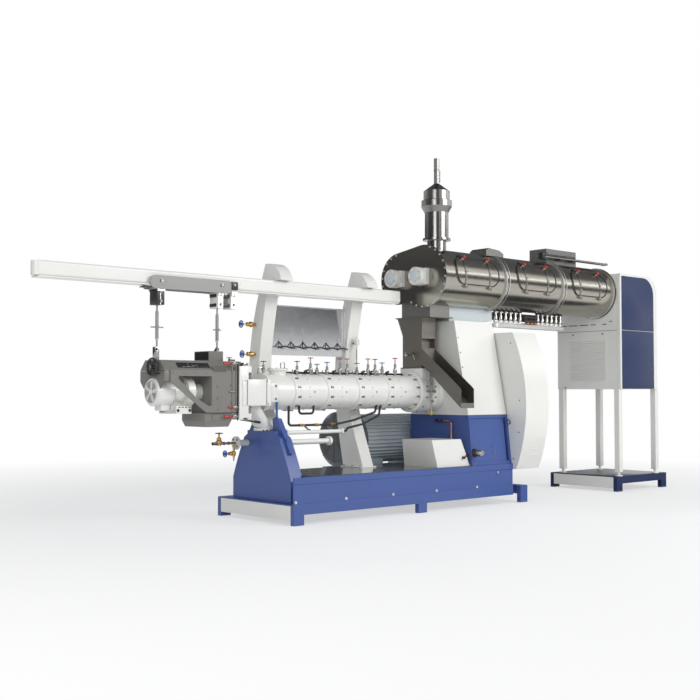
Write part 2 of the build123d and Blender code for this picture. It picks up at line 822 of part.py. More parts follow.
# Die block: a ribbed cube with the cutting face plate in front and the discharge elbow below
def die_end():
    x0 = BARREL_START - BLOCK_LEN
    body = block(x0, BARREL_START, -BLOCK_HALF, BLOCK_HALF, BLOCK_LOW, BLOCK_HIGH)
    body = chamfer(body.edges().filter_by(Axis.X), BLOCK_CHAMFER)
    half = BLOCK_HALF + BLOCK_RIB
    for x in (x0 + 1.5 * BLOCK_CHAMFER, BARREL_START - 2.5 * BLOCK_CHAMFER):
        body += block(x, x + BLOCK_CHAMFER, -half, half, BLOCK_LOW, BLOCK_HIGH + BLOCK_RIB)
    add("die_block", body)
    plate = block(x0 - DIE_PLATE_LEN, x0, -DIE_PLATE_HALF, DIE_PLATE_HALF, DIE_PLATE_LOW, DIE_PLATE_HIGH)
    plate = chamfer(plate.edges().filter_by(Axis.X), DIE_PLATE_CHAMFER)
    for index in range(DIE_HOLES):
        turn = math.radians(360 / DIE_HOLES * index)
        y = DIE_CIRCLE_R * math.cos(turn)
        z = AXIS_Z + DIE_CIRCLE_R * math.sin(turn)
        plate -= rod_x(DIE_HOLE_R, x0 - DIE_PLATE_LEN - 1, x0 + 1, y, z)
    add("die_plate", plate)
    add("die_gasket", *gasket_strips(x0 - DIE_PLATE_LEN))
    high = BLOCK_LOW - SEAT
    low = CAP_TOP + SEAT
    mid = BARREL_START - BLOCK_LEN / 2 + ELBOW_FLANGE
    circles = [
        (Plane.XY.offset(low + ELBOW_FLANGE) * Pos(ELBOW_FOOT_X, 0) * Circle(ELBOW_FOOT_R)).face(),
        (Plane.XY.offset(high - ELBOW_FLANGE) * Pos(mid, 0) * Circle(ELBOW_R)).face(),
    ]
    elbow = loft(circles)
    elbow += rod_z(ELBOW_R, high - ELBOW_FLANGE, high, mid, 0)
    elbow += rod_z(ELBOW_FOOT_R + ELBOW_FLANGE / 2, low, low + ELBOW_FLANGE, ELBOW_FOOT_X, 0)
    elbow -= rod_x(FLANGE_R + SEAT, BARREL_START - SEAT, GUSSET_X[1], 0, AXIS_Z)
    add("discharge_elbow", elbow)


# Bow column: an outline bent back from the deck, over the rail and down to its fin
def column_outline():
    lower = DECK_Z + DECK_SHEET
    seat_y = RAIL_HALF + SEAT
    seat_z = RAIL_HIGH + SEAT
    front, back = COLUMN_FOOT
    nose, tip = COLUMN_TOP_Y
    chin = (COLUMN_CHIN_Y, RAIL_LOW - RIM_OUT)
    ridge = (COLUMN_RIDGE_Y, COLUMN_CROWN - COLUMN_RIDGE_FALL)
    edge_front = Spline((front, lower), *COLUMN_BELLY, chin)
    edge_back = Spline((tip, COLUMN_CROWN), *COLUMN_BACK, (back, lower))
    return make_face(
        [
            edge_front,
            Line(chin, (seat_y, RAIL_LOW + RIM_OUT)),
            Line((seat_y, RAIL_LOW + RIM_OUT), (seat_y, seat_z)),
            Line((seat_y, seat_z), (nose, seat_z)),
            ThreePointArc((nose, seat_z), COLUMN_BROW, ridge),
            Line(ridge, (tip, COLUMN_CROWN)),
            edge_back,
            Line((back, lower), (front, lower)),
        ]
    )


def column_span(index):
    return (COLUMN_X[index], COLUMN_X[index] + COLUMN_LEN)


def columns():
    outline = column_outline()
    add("bow_columns", *[slab_x(outline, *column_span(index)) for index in range(len(COLUMN_X))])


# Overhead rail: a rounded box tube with a track plate under it
def rail():
    outline = RectangleRounded(2 * RAIL_HALF, RAIL_HIGH - RAIL_LOW, RAIL_CORNER)
    outline = Pos(0, (RAIL_LOW + RAIL_HIGH) / 2) * outline
    body = slab_x(outline, RAIL_LEFT + RAIL_HALF, RAIL_RIGHT)
    nose = rod_z(RAIL_HALF - 1, RAIL_LOW + 6, RAIL_HIGH - 6, RAIL_LEFT + RAIL_HALF, 0)
    low = RAIL_LOW - TRACK_SHEET
    track = block(RAIL_LEFT + TRACK_INSET, RAIL_RIGHT - TRACK_INSET, -TRACK_HALF, TRACK_HALF, low, RAIL_LOW)
    add("overhead_rail", body + nose + track)


# Stainless panel between the columns, with a narrow shelf on triangular brackets
def splash_panel():
    x0 = COLUMN_X[0] + COLUMN_LEN + SEAT
    x1 = COLUMN_X[1] - SEAT
    lip = SPLASH_Y - SPLASH_LIP
    panel = block(x0, x1, SPLASH_Y, SPLASH_Y + SHEET, SPLASH_LOW, SPLASH_HIGH)
    panel += block(x0, x1, lip, SPLASH_Y, SPLASH_HIGH - SHEET, SPLASH_HIGH)
    for x in (x0, x1 - SHEET):
        panel += block(x, x + SHEET, lip, SPLASH_Y, SPLASH_LOW, SPLASH_HIGH)
    front = SPLASH_Y - SHELF_DEPTH
    first = HOOK_FIRST - HOOK_PITCH / 3
    last = HOOK_FIRST + (HOOKS - 1) * HOOK_PITCH + HOOK_PITCH / 3
    panel += block(first, last, front, SPLASH_Y, SHELF_Z - SHELF_SHEET, SHELF_Z)
    outer = poly((SPLASH_Y, SHELF_Z), (front, SHELF_Z), (SPLASH_Y, SHELF_Z + HOOK_RISE))
    t = 2 * HOOK_SHEET
    slope = (HOOK_RISE - 2.4 * t) / (SHELF_DEPTH - 2.4 * t)
    inner_run = SHELF_DEPTH - 3.6 * t
    inner = poly(
        (SPLASH_Y - t, SHELF_Z + 1),
        (SPLASH_Y - t - inner_run, SHELF_Z + 1),
        (SPLASH_Y - t, SHELF_Z + 1 + inner_run * slope),
    )
    for index in range(HOOKS):
        x = HOOK_FIRST + index * HOOK_PITCH
        panel += slab_x(outer - inner, x, x + HOOK_SHEET)
        panel += block(x, x + HOOK_SHEET, SPLASH_Y - HOOK_SHEET, SPLASH_Y, SHELF_Z, STRIP_TOP)
    add("splash_panel", panel)


# Main motor: a finned frame on feet with its shaft, and the fan cowl that faces the die end
def main_motor():
    end = MOTOR_X + MOTOR_LEN
    body = rod_x(MOTOR_BODY_R, MOTOR_X, end, MOTOR_Y, MOTOR_Z)
    for index in range(MOTOR_FINS):
        fin = Box(MOTOR_LEN - 2 * MOTOR_FOOT, MOTOR_FIN_SHEET, 2 * MOTOR_R - MOTOR_FIN_SHEET)
        if index < MOTOR_FINS / 2:
            turn = Rot(360 / MOTOR_FINS * index, 0, 0)
            body += Pos((MOTOR_X + end) / 2, MOTOR_Y, MOTOR_Z) * turn * fin
    low = MOTOR_Z - MOTOR_R - MOTOR_FOOT
    inset = MOTOR_FOOT_INSET
    for x in (MOTOR_X + inset, end - inset - MOTOR_FOOT_LEN):
        y0 = MOTOR_Y - MOTOR_FOOT_HALF
        y1 = MOTOR_Y + MOTOR_FOOT_HALF
        body += block(x, x + MOTOR_FOOT_LEN, y0, y1, low, low + MOTOR_FOOT_HIGH)
    body += rod_x(MOTOR_SHAFT_R, end, GUARD_X, MOTOR_Y, MOTOR_Z)
    add("motor_body", body)
    start = MOTOR_X - FAN_LEN
    cowl = turned_x(
        [
            (start, 0),
            (start, 0.8 * FAN_R),
            (start + 0.15 * FAN_R, FAN_R),
            (MOTOR_X, FAN_R),
            (MOTOR_X, 0),
        ],
        MOTOR_Y,
        MOTOR_Z,
    )
    add("motor_fan_cowl", cowl)


# Gearbox: a leaning blue housing with a recessed door, and the white cover on top of it
def gearbox():
    def front_at(z):
        share = (z - DECK_Z) / (BOX_TOP - DECK_Z)
        return -BOX_FRONT_LOW + share * (BOX_FRONT_LOW - BOX_FRONT_HIGH)

    def pocket(depth, low, high):
        return poly(
            (front_at(low) - 1, low),
            (front_at(low) + depth, low),
            (front_at(high) + depth, high),
            (front_at(high) - 1, high),
        )

    lower = poly(
        (-BOX_FRONT_LOW, DECK_Z),
        (BOX_BACK, DECK_Z),
        (BOX_BACK, BOX_TOP),
        (-BOX_FRONT_HIGH, BOX_TOP),
    )
    end = BOX_X + BOX_LEN
    box = slab_x(lower, BOX_X, end)
    edge = DOOR_PANEL_EDGE
    channel = end - edge - CHANNEL_WIDTH
    high = BOX_TOP - edge
    box -= slab_x(pocket(DOOR_PANEL_DEEP, DECK_Z + edge, high), BOX_X + edge / 2, channel)
    box -= slab_x(pocket(CHANNEL_DEEP, DECK_Z + edge, high), channel, end - edge)
    ring_y = front_at(high) + RING_WIRE / 2
    box += Pos(channel, ring_y - RING_WIRE, high) * Rot(90, 0, 0) * Torus(RING_R, RING_WIRE)
    add("gearbox_lower", box)
    upper = poly(
        (-BOX_FRONT_HIGH, BOX_TOP),
        (COVER_BACK, BOX_TOP),
        (COVER_BACK, COVER_TOP),
        (-COVER_FRONT, COVER_TOP),
    )
    cover = slab_x(upper, BOX_X, BOX_X + COVER_LEN)
    add("gearbox_cover", cover)


# Belt guard: a bulging front edge between a flat top and a short floor
def belt_guard():
    high = (-GUARD_EDGE + GUARD_EDGE_STEP, GUARD_TOP)
    outline = make_face(
        [
            ThreePointArc((-GUARD_EDGE, GUARD_LOW), (-GUARD_BULGE, GUARD_SHOULDER), high),
            Line(high, (GUARD_TOP_EDGE, GUARD_TOP)),
            Line((GUARD_TOP_EDGE, GUARD_TOP), (GUARD_BACK, GUARD_SHOULDER)),
            Line((GUARD_BACK, GUARD_SHOULDER), (GUARD_BACK, GUARD_LOW)),
            Line((GUARD_BACK, GUARD_LOW), (-GUARD_EDGE, GUARD_LOW)),
        ]
    )
    add("belt_guard", slab_x(outline, GUARD_X, GUARD_X + GUARD_LEN))


# Oil pump cover on the deck: a tapered sheet box
def pump_cover():
    low = Plane.XY.offset(DECK_Z + DECK_SHEET) * (Pos(PUMP_X, PUMP_Y) * Rectangle(PUMP_LEN, PUMP_DEPTH))
    high = Plane.XY.offset(PUMP_TOP) * (Pos(PUMP_TOP_X, PUMP_Y) * Rectangle(PUMP_TOP_LEN, PUMP_TOP_DEPTH))
    add("pump_cover", loft([low.face(), high.face()]))


# Small pipes: the copper oil pipe, the oil filter and two drain pipes under the slide
def oil_pipes():
    near, far = COPPER_Y
    x = COPPER_X
    copper = tube(
        COPPER_R,
        3 * COPPER_R,
        (BOX_X - SEAT, near, COPPER_Z),
        (x, near, COPPER_Z),
        (x, far, COPPER_Z),
        (x, far, PUMP_TOP - PUMP_DEPTH / 3),
    )
    copper -= NODES["pump_cover"][0]
    front = -BOX_FRONT_LOW
    filter_body = rod_y(FILTER_R, front - FILTER_OUT / 3, front + 2 * FILTER_R, FILTER_X, FILTER_Z)
    filter_body += rod_y(0.7 * FILTER_R, front - FILTER_OUT, front, FILTER_X, FILTER_Z)
    filter_body += rod_y(0.9 * FILTER_R, front - FILTER_OUT, front - FILTER_OUT / 2, FILTER_X, FILTER_Z)
    filter_body -= NODES["gearbox_lower"][0]
    drains = []
    for x in DRAIN_X:
        drain = rod_z(DRAIN_R, DRAIN_LOW, BYPASS_ROOT, x, DRAIN_Y)
        drain += rod_z(1.6 * DRAIN_R, DRAIN_LOW, DRAIN_LOW + 4 * DRAIN_R, x, DRAIN_Y)
        drains.append(drain)
    middle = (DRAIN_LOW + BYPASS_ROOT) / 2
    drain = drains[0] + drains[1] + rod_x(DRAIN_R, DRAIN_X[0] - 4 * DRAIN_R, DRAIN_X[1], DRAIN_Y, middle)
    drain -= slab_x(slide_outline(), CHUTE_X, CHUTE_X + CHUTE_LEN)
    add("oil_pipes", copper, filter_body, drain)


# Feed chute: a flared hopper on a straight leg, with the open bypass slide at its front
def slide_outline():
    return poly(
        (-CHUTE_HALF - SEAT, BYPASS_TOP),
        (30 - BYPASS_END_Y, BYPASS_LIP_TOP + 30),
        (-BYPASS_END_Y, BYPASS_LIP_TOP),
        (-BYPASS_END_Y, BYPASS_LIP_LOW),
        (-CHUTE_HALF - SEAT, BYPASS_ROOT),
    )


def chutes():
    x0 = CHUTE_X
    x1 = CHUTE_X + CHUTE_LEN
    mid = (x0 + x1) / 2
    half = CHUTE_HALF
    top = Plane.XY.offset(HOPPER_TOP) * (Pos(mid, HOPPER_SHIFT) * Rectangle(CHUTE_LEN, 2 * HOPPER_HALF))
    waist = Plane.XY.offset(HOPPER_WAIST) * (Pos(mid, 0) * Rectangle(CHUTE_LEN, 2 * half))
    chute = loft([waist.face(), top.face()])
    chute += block(x0, x1, -half, half, CHUTE_LOW, HOPPER_WAIST)
    chute -= block(x0 + SHEET, x1 - SHEET, -half - 1, POCKET_DEEP - half, *POCKET_Z)
    chute += block(x0 - RIM_OUT, RIM_RIGHT, RIM_FRONT, RIM_BACK, HOPPER_TOP, HOPPER_TOP + RIM_SHEET)
    half += THROAT_MARGIN
    low = CHUTE_LOW - RIM_SHEET + SEAT
    chute += block(x0 - THROAT_MARGIN, x1, -half, half, low, CHUTE_LOW)
    add("feed_chute", chute)
    end = -BYPASS_END_Y
    hollow = poly(
        (-CHUTE_HALF + 2 * SHEET, BYPASS_TOP + 60),
        (end - BYPASS_LIP, BYPASS_LIP_TOP),
        (end - BYPASS_LIP, BYPASS_LIP_LOW + BYPASS_LIP),
        (end + SHEET, BYPASS_LIP_LOW + BYPASS_LIP),
        (end + SHEET, BYPASS_LIP_LOW + 3 * SHEET),
        (-CHUTE_HALF + 2 * SHEET, BYPASS_ROOT + 3 * SHEET),
    )
    add("bypass_slide", slab_x(slide_outline(), x0, x1) - slab_x(hollow, x0 + SHEET, x1 - SHEET))


# Conditioner shell: two overlapping drums of different size, with door openings in the big one
def drum_circles(grow):
    big = Pos(BIG_Y, COND_Z) * Circle(BIG_R + grow)
    small = Pos(SMALL_Y, COND_Z) * Circle(SMALL_R + grow)
    return big + small


def drum_outline(grow):
    # The two circles, with a straight roof laid over the valley between them
    lean = math.asin((BIG_R - SMALL_R) / (SMALL_Y - BIG_Y))
    roof = poly(
        (BIG_Y, COND_Z),
        (SMALL_Y, COND_Z),
        (SMALL_Y + (SMALL_R + grow) * math.sin(lean), COND_Z + (SMALL_R + grow) * math.cos(lean)),
        (BIG_Y + (BIG_R + grow) * math.sin(lean), COND_Z + (BIG_R + grow) * math.cos(lean)),
    )
    return drum_circles(grow) + roof


def door_sector(r_in, r_out, low_angle, high_angle, x0, x1):
    # A curved plate of the big drum between two angles, measured from +y towards +z
    mid = (low_angle + high_angle) / 2

    def at(r, angle):
        turn = math.radians(angle)
        return (BIG_Y + r * math.cos(turn), COND_Z + r * math.sin(turn))

    outline = make_face(
        [
            ThreePointArc(at(r_out, low_angle), at(r_out, mid), at(r_out, high_angle)),
            Line(at(r_out, high_angle), at(r_in, high_angle)),
            ThreePointArc(at(r_in, high_angle), at(r_in, mid), at(r_in, low_angle)),
            Line(at(r_in, low_angle), at(r_out, low_angle)),
        ]
    )
    return slab_x(outline, x0, x1)


def door_form(mid, shrink):
    # A bar with rounded corners that points out of the big drum at the door's middle
    turn = (DOOR_LOW_ANGLE + DOOR_HIGH_ANGLE) / 2
    reach = 2 * (BIG_R + DOOR_GAP) * math.sin(math.radians((DOOR_LOW_ANGLE - DOOR_HIGH_ANGLE) / 2))
    shape = RectangleRounded(DOOR_LEN - 2 * shrink, reach - 2 * shrink, DOOR_CORNER - shrink)
    bar = extrude(shape, 2 * BIG_R)
    return Pos(mid, BIG_Y, COND_Z) * Rot(turn, 0, 0) * Rot(-90, 0, 0) * bar


def ring_place(index):
    return COND_X + index * RING_PITCH


def clear_of_drums(body, x0, x1):
    body -= slab_x(drum_outline(SEAT), x0, x1)
    for index in range(1, DOORS):
        x = ring_place(index)
        body -= slab_x(drum_outline(RING_OUT + SEAT), x - HEAD_SHEET - 1, x + HEAD_SHEET + 1)
    return body


def conditioner():
    left = COND_X + HEAD_SHEET
    right = COND_RIGHT - HEAD_SHEET
    joints = [left] + [ring_place(index) for index in range(1, DOORS)] + [right]
    for index in range(DOORS):
        x0 = joints[index]
        x1 = joints[index + 1] - SEAT
        shell = slab_x(drum_outline(0), x0, x1) - slab_x(drum_outline(-COND_SHEET), x0 - 1, x1 + 1)
        mid = DOOR_FIRST + index * DOOR_PITCH
        shell -= door_form(mid, DOOR_LAP)
        if index == 0:
            front = NECK_FRONT + 4 * SHEET
            back = NECK_BACK - 2 * SHEET
            end = CHUTE_X + NECK_LEN - SHEET
            shell -= block(CHUTE_X + SHEET, end, front, back, BIG_DROP - SHEET, COND_Z - BIG_R / 2)
        add("conditioner_section_%d" % (index + 1), shell)
    rings = [
        slab_x(drum_outline(HEAD_MARGIN), COND_X, left),
        slab_x(drum_outline(RING_OUT), right, COND_RIGHT),
    ]
    for index in range(1, DOORS):
        x = ring_place(index)
        ring = slab_x(drum_outline(RING_OUT), x - HEAD_SHEET, x + HEAD_SHEET)
        ring -= slab_x(drum_outline(SEAT), x - HEAD_SHEET - 1, x + HEAD_SHEET + 1)
        rings.append(ring)
    add("conditioner_flanges", *rings)
    end = CHUTE_X + NECK_LEN
    neck = block(CHUTE_X, end, NECK_FRONT, NECK_BACK, HOPPER_TOP + RIM_SHEET + SEAT, COND_Z)
    neck -= block(CHUTE_X + SHEET, end - SHEET, NECK_FRONT + SHEET, NECK_BACK - SHEET, HOPPER_TOP, COND_Z + 1)
    neck -= slab_x(drum_circles(SEAT), CHUTE_X - 1, end + 1)
    add("conditioner_neck", neck)


# Paddle shafts: one in each drum, seen when a door is open
def paddle_shafts():
    solids = []
    left = COND_X + HEAD_SHEET
    right = COND_RIGHT - HEAD_SHEET
    lead = 1.5 * PADDLE_PITCH
    for y, r, first in ((BIG_Y, BIG_R, lead), (SMALL_Y, SMALL_R, lead + PADDLE_PITCH)):
        shaft = rod_x(SHAFT_R, left, right, y, COND_Z)
        reach = r - COND_SHEET - PADDLE_TIP_GAP
        count = int((right - left - 2 * PADDLE_PITCH) / (2 * PADDLE_PITCH))
        for index in range(count):
            x = left + first + index * 2 * PADDLE_PITCH
            paddle = Box(PLATE, PADDLE_WIDTH, 2 * reach)
            shaft += Pos(x, y, COND_Z) * Rot(PADDLE_TURN * index + 20, 0, 0) * paddle
        solids.append(shaft)
    add("paddle_shafts", *solids)


# Inspection doors: a curved sheet with two clamp straps, hinged along its lower edge
def hinge_place():
    turn = math.radians(HINGE_ANGLE)
    r = BIG_R + HINGE_OUT
    return (BIG_Y + r * math.cos(turn), COND_Z + r * math.sin(turn))


def hinge_lug(x):
    y, z = hinge_place()
    lug = rod_x(EYE_R, x, x + LUG_SHEET, y, z)
    foot = Pos(x + LUG_SHEET / 2, y, z) * Rot(HINGE_ANGLE, 0, 0) * Pos(0, -HINGE_OUT, 0)
    lug += foot * Box(LUG_SHEET, 2 * HINGE_OUT, 2 * EYE_R)
    return lug - rod_x(BIG_R + SEAT, x - 1, x + LUG_SHEET + 1, BIG_Y, COND_Z)


def latch(x, r):
    turn = DOOR_HIGH_ANGLE + 6
    place = Pos(x, BIG_Y, COND_Z) * Rot(turn, 0, 0) * Pos(0, r + LATCH_OUT / 2, 0) * Rot(90, 0, 0)
    return place * Cylinder(LATCH_R, LATCH_OUT)


def doors():
    y, z = hinge_place()
    hinges = []
    r0 = BIG_R + DOOR_GAP
    r1 = r0 + DOOR_SHEET
    half = DOOR_LEN / 2
    reach = STRAP_WIDTH / 2 + LUG_GAP + LUG_SHEET
    for index in range(DOORS):
        mid = DOOR_FIRST + index * DOOR_PITCH
        leaf = door_sector(r0, r1, DOOR_LOW_ANGLE, DOOR_HIGH_ANGLE, mid - half, mid + half)
        leaf = leaf & door_form(mid, 0)
        for x in (mid - STRAP_OFFSET, mid + STRAP_OFFSET):
            x0 = x - STRAP_WIDTH / 2
            x1 = x + STRAP_WIDTH / 2
            strap = door_sector(r1 - 1, r1 + STRAP_SHEET, HINGE_ANGLE, DOOR_HIGH_ANGLE, x0, x1)
            strap += rod_x(EYE_R, x0, x1, y, z)
            leaf += strap + latch(x, r1)
            leaf -= rod_x(PIN_R + PIN_CLEARANCE, x0 - 1, x1 + 1, y, z)
            pin = rod_x(PIN_R, x - reach, x + reach, y, z)
            hinges.append(pin + hinge_lug(x - reach) + hinge_lug(x + reach - LUG_SHEET))
        add("door_%d" % (index + 1), leaf)
    add("door_hinges", *hinges)


# Vent stack over the big drum
def vent_stack():
    foot = COND_Z + BIG_R / 2
    flange_low, flange_high = STACK_FLANGE_Z
    bulge_low, bulge_high = STACK_BULGE_Z
    cap_low, cap_high = STACK_CAP_Z
    profile = [
        (STACK_NECK_R, foot),
        (STACK_NECK_R, flange_low),
        (STACK_R + STACK_FLANGE_OUT, flange_low),
        (STACK_R + STACK_FLANGE_OUT, flange_high),
        (STACK_R, flange_high),
        (STACK_R, STACK_SHOULDER),
        (STACK_BULGE_R, bulge_low),
        (STACK_BULGE_R, bulge_high),
        (STACK_CAP_R, cap_low),
        (STACK_CAP_R, cap_high),
        (VENT_R, VENT_LOW),
        (VENT_R, VENT_TOP),
        (0, VENT_TOP),
        (0, foot),
    ]
    stack = turned_z(profile, STACK_X, BIG_Y)
    reach = 2 * STACK_NECK_R
    add("vent_stack", clear_of_drums(stack, STACK_X - reach, STACK_X + reach))


# Rounded lid, and the powder inlet with its slide gate, on top of the shell
def inlet():
    right = LID_X + LID_LEN
    outline = poly(
        (LID_X, LID_LOW),
        (LID_X, LID_HIGH - LID_LEN / 10),
        (LID_X + LID_LEN / 7, LID_HIGH),
        (right - LID_LEN / 4, LID_HIGH - LID_LEN / 20),
        (right, LID_HIGH - LID_LEN / 6),
        (right, LID_LOW),
    )
    add("top_lid", clear_of_drums(slab_y(outline, *LID_Y), LID_X - 1, right + 1))
    end = INLET_X + INLET_LEN
    box = block(INLET_X, end, *INLET_Y, COND_Z, INLET_TOP)
    box = clear_of_drums(box, INLET_X - 1, end + 1)
    near, far = GATE_X
    front, back = GATE_Y
    bar = GATE_BAR
    for y in (front, back - bar):
        box += block(near, far, y, y + bar, GATE_Z, GATE_Z + bar)
    box += block(far - bar, far, front, back, GATE_Z, GATE_Z + bar)
    box += block(near, near + GATE_HEAD, front, back, GATE_Z - bar, GATE_Z + GATE_HEAD)
    box += rod_x(GATE_ROD_R, near, far, (front + back) / 2, GATE_Z + bar / 2)
    add("powder_inlet", box)


# Steam nozzles under the big drum: two groups of stubs on one pipe over a drip tray
def nozzle_row():
    row = rod_x(NOZZLE_PIPE_R, TRAY_X[0], TRAY_X[1], BIG_Y, NOZZLE_LOW)
    for first in NOZZLE_FIRST:
        for index in range(NOZZLES):
            x = first + index * NOZZLE_PITCH
            stub = rod_z(NOZZLE_R, NOZZLE_LOW, BIG_DROP + NOZZLE_R, x, BIG_Y)
            row += clear_of_drums(stub, x - NOZZLE_R, x + NOZZLE_R)
    x0, x1 = TRAY_X
    row += block(x0, x1, BIG_Y - TRAY_HALF, BIG_Y + TRAY_HALF, TRAY_LOW, NOZZLE_LOW - NOZZLE_PIPE_R + 1)
    for x in TRAY_X:
        row += rod_z(TRAY_HALF, TRAY_LOW, NOZZLE_LOW - NOZZLE_PIPE_R + 1, x, BIG_Y)
    add("nozzle_row", row)


# Drive housing: rounded outer corner, on four legs and a low base box
def drive_stand():
    x0 = HOUSING_X
    x1 = HOUSING_X + HOUSING_LEN
    r = HOUSING_CORNER_R
    corner = r * (1 - math.sqrt(0.5))
    outline = make_face(
        [
            Line((x0, HOUSING_LOW), (x1, HOUSING_LOW)),
            Line((x1, HOUSING_LOW), (x1, HOUSING_TOP - r)),
            ThreePointArc((x1, HOUSING_TOP - r), (x1 - corner, HOUSING_TOP - corner), (x1 - r, HOUSING_TOP)),
            Line((x1 - r, HOUSING_TOP), (x0, HOUSING_TOP)),
            Line((x0, HOUSING_TOP), (x0, HOUSING_LOW)),
        ]
    )
    add("drive_housing", slab_y(outline, HOUSING_FRONT, HOUSING_BACK))
    legs = []
    foot = STAND_TOP + LEG_SCREW_LEN
    for x in LEG_X:
        for y in LEG_Y:
            mid_x = x + LEG / 2
            mid_y = y + LEG / 2
            leg = block(x, x + LEG, y, y + LEG, foot, HOUSING_LOW - SEAT)
            leg += rod_z(LEG_SCREW_R, STAND_TOP, foot, mid_x, mid_y)
            leg += rod_z(LEG_PAD_R, STAND_TOP, STAND_TOP + LEG_PAD_SHEET, mid_x, mid_y)
            legs.append(leg)
    add("stand_legs", *legs)
    x0 = STAND_X + PANEL_SHEET
    x1 = STAND_X + STAND_LEN
    top = STAND_TOP - PLATE
    stand = block(x0, x1, STAND_FRONT, STAND_BACK, BEAM_BOTTOM, top)
    stand += block(STAND_X, x1, STAND_FRONT, STAND_BACK, top, STAND_TOP)
    for y in (STAND_FRONT, STAND_BACK - FOOT_DEPTH):
        stand += block(x1 - FOOT_LEN, x1, y, y + FOOT_DEPTH, 0, BEAM_BOTTOM)
        stand += block(STAND_X, STAND_X + FOOT_LEN, y, y + FOOT_DEPTH, 0, BEAM_BOTTOM)
        stand += block(STAND_X, x0, y, y + FOOT_DEPTH, BEAM_BOTTOM, top)
    add("stand_base", stand)
    front = STAND_FRONT + FOOT_DEPTH
    add("stand_end_panel", block(STAND_X, x0 - SEAT, front, STAND_BACK - FOOT_DEPTH, PANEL_LOW, top))


# Conditioner plinth on the gearbox cover
def plinth():
    body = block(PLINTH_X, PLINTH_END, PLINTH_FRONT, PLINTH_BACK, COVER_TOP + SEAT, COND_Z)
    body -= block(PLINTH_STEP_X, PLINTH_END + 1, PLINTH_FRONT - 1, PLINTH_BACK + 1, 0, PLINTH_STEP_Z)
    add("conditioner_plinth", clear_of_drums(body, PLINTH_X - 1, PLINTH_END + 1))


# Bearings on the conditioner's left end
def end_bearings():
    solids = []
    near = COND_X - SEAT
    for y in (BIG_Y, SMALL_Y):
        z = COND_Z - BEARING_DROP
        bearing = rod_x(BEARING_CAP_R, COND_X - BEARING_OUT, COND_X - BEARING_FOOT, y, z)
        half = BEARING_PLATE
        bearing += block(COND_X - BEARING_FOOT - 1, near, y - half, y + half, z - half, z + half)
        solids.append(bearing)
    add("shaft_bearings", *solids)


# Trolley: side plates along the rail, their rollers on the track, and hangers with tie rods
def trolley():
    y_in = TRACK_HALF + TROLLEY_GAP
    y_out = y_in + TROLLEY_PLATE
    outline = RectangleRounded(TROLLEY_RIGHT - TROLLEY_LEFT, TROLLEY_HIGH - TROLLEY_LOW, TROLLEY_CORNER)
    outline = Pos((TROLLEY_LEFT + TROLLEY_RIGHT) / 2, (TROLLEY_LOW + TROLLEY_HIGH) / 2) * outline
    plates = [slab_y(outline, -y_out, -y_in), slab_y(outline, y_in, y_out)]
    reach = RAIL_HALF + ROLLER_GAP
    z = RAIL_LOW + ROLLER_R + SEAT
    for x in ROLLER_X:
        plates[0] += rod_y(ROLLER_R, -y_in, -reach, x, z)
        plates[1] += rod_y(ROLLER_R, reach, y_in, x, z)
    add("trolley_plates", *plates)
    top = AXIS_Z + HOOD_UP
    low, high = TURNBUCKLE_Z
    joined = TROLLEY_LOW + HANGER_LAP
    blocks = []
    for span, half in zip(HANGER_X, HANGER_HALF):
        blocks.append(block(*span, -half, half, HANGER_LOW, joined - HANGER_LAP - SEAT))
        blocks[-1] += block(*span, -y_in, y_in, joined - 2 * HANGER_LAP, joined)
    bars = block(HANGER_X[1][0], HANGER_X[2][1], -half / 2, half / 2, joined - 2 * HANGER_LAP, joined - 1)
    for z in STRAP_BAR_Z:
        bars += block(HANGER_X[1][0], HANGER_X[2][1], -half / 2, half / 2, z, z + STRAP_BAR)
    hangers = []
    for hanger, x, z in zip(
        (blocks[0], blocks[1] + blocks[2] + bars), ROD_X, (top + POST_HEIGHT, top + BOX_HEIGHT)
    ):
        hanger += rod_z(ROD_R, z, HANGER_LOW + 1, x, 0)
        hanger += rod_z(TURNBUCKLE_R, low, high, x, 0)
        hanger += rod_y(CROSSBAR_R, -CROSSBAR_HALF, CROSSBAR_HALF, x, CROSSBAR_Z)
        hangers.append(hanger)
    add("rod_hangers", *hangers)


# Knife unit: a chamber with knives, side plates with an open triangle, and the knife motor
def hood_outline(shrink):
    half = HOOD_HALF - shrink
    low = AXIS_Z - HOOD_DOWN + shrink
    top = AXIS_Z + HOOD_UP - shrink
    shoulder = top - HOOD_SHOULDER
    return poly(
        (-half, low),
        (half, low),
        (half, shoulder),
        (half - HOOD_BEVEL, top),
        (HOOD_BEVEL - half, top),
        (-half, shoulder),
    )


def setting_screw():
    x = HOOD_LEFT - WHEEL_OUT
    collar_r = HANDWHEEL_HUB_R - 4
    screw = rod_x(SCREW_R, x - HANDWHEEL_HUB - 2, HOOD_LEFT, HANDWHEEL_Y, HANDWHEEL_Z)
    screw += rod_x(collar_r, x - HANDWHEEL_HUB - 8, x - HANDWHEEL_HUB - 1, HANDWHEEL_Y, HANDWHEEL_Z)
    screw += rod_x(collar_r, x + HANDWHEEL_HUB + 1, HOOD_LEFT, HANDWHEEL_Y, HANDWHEEL_Z)
    return screw


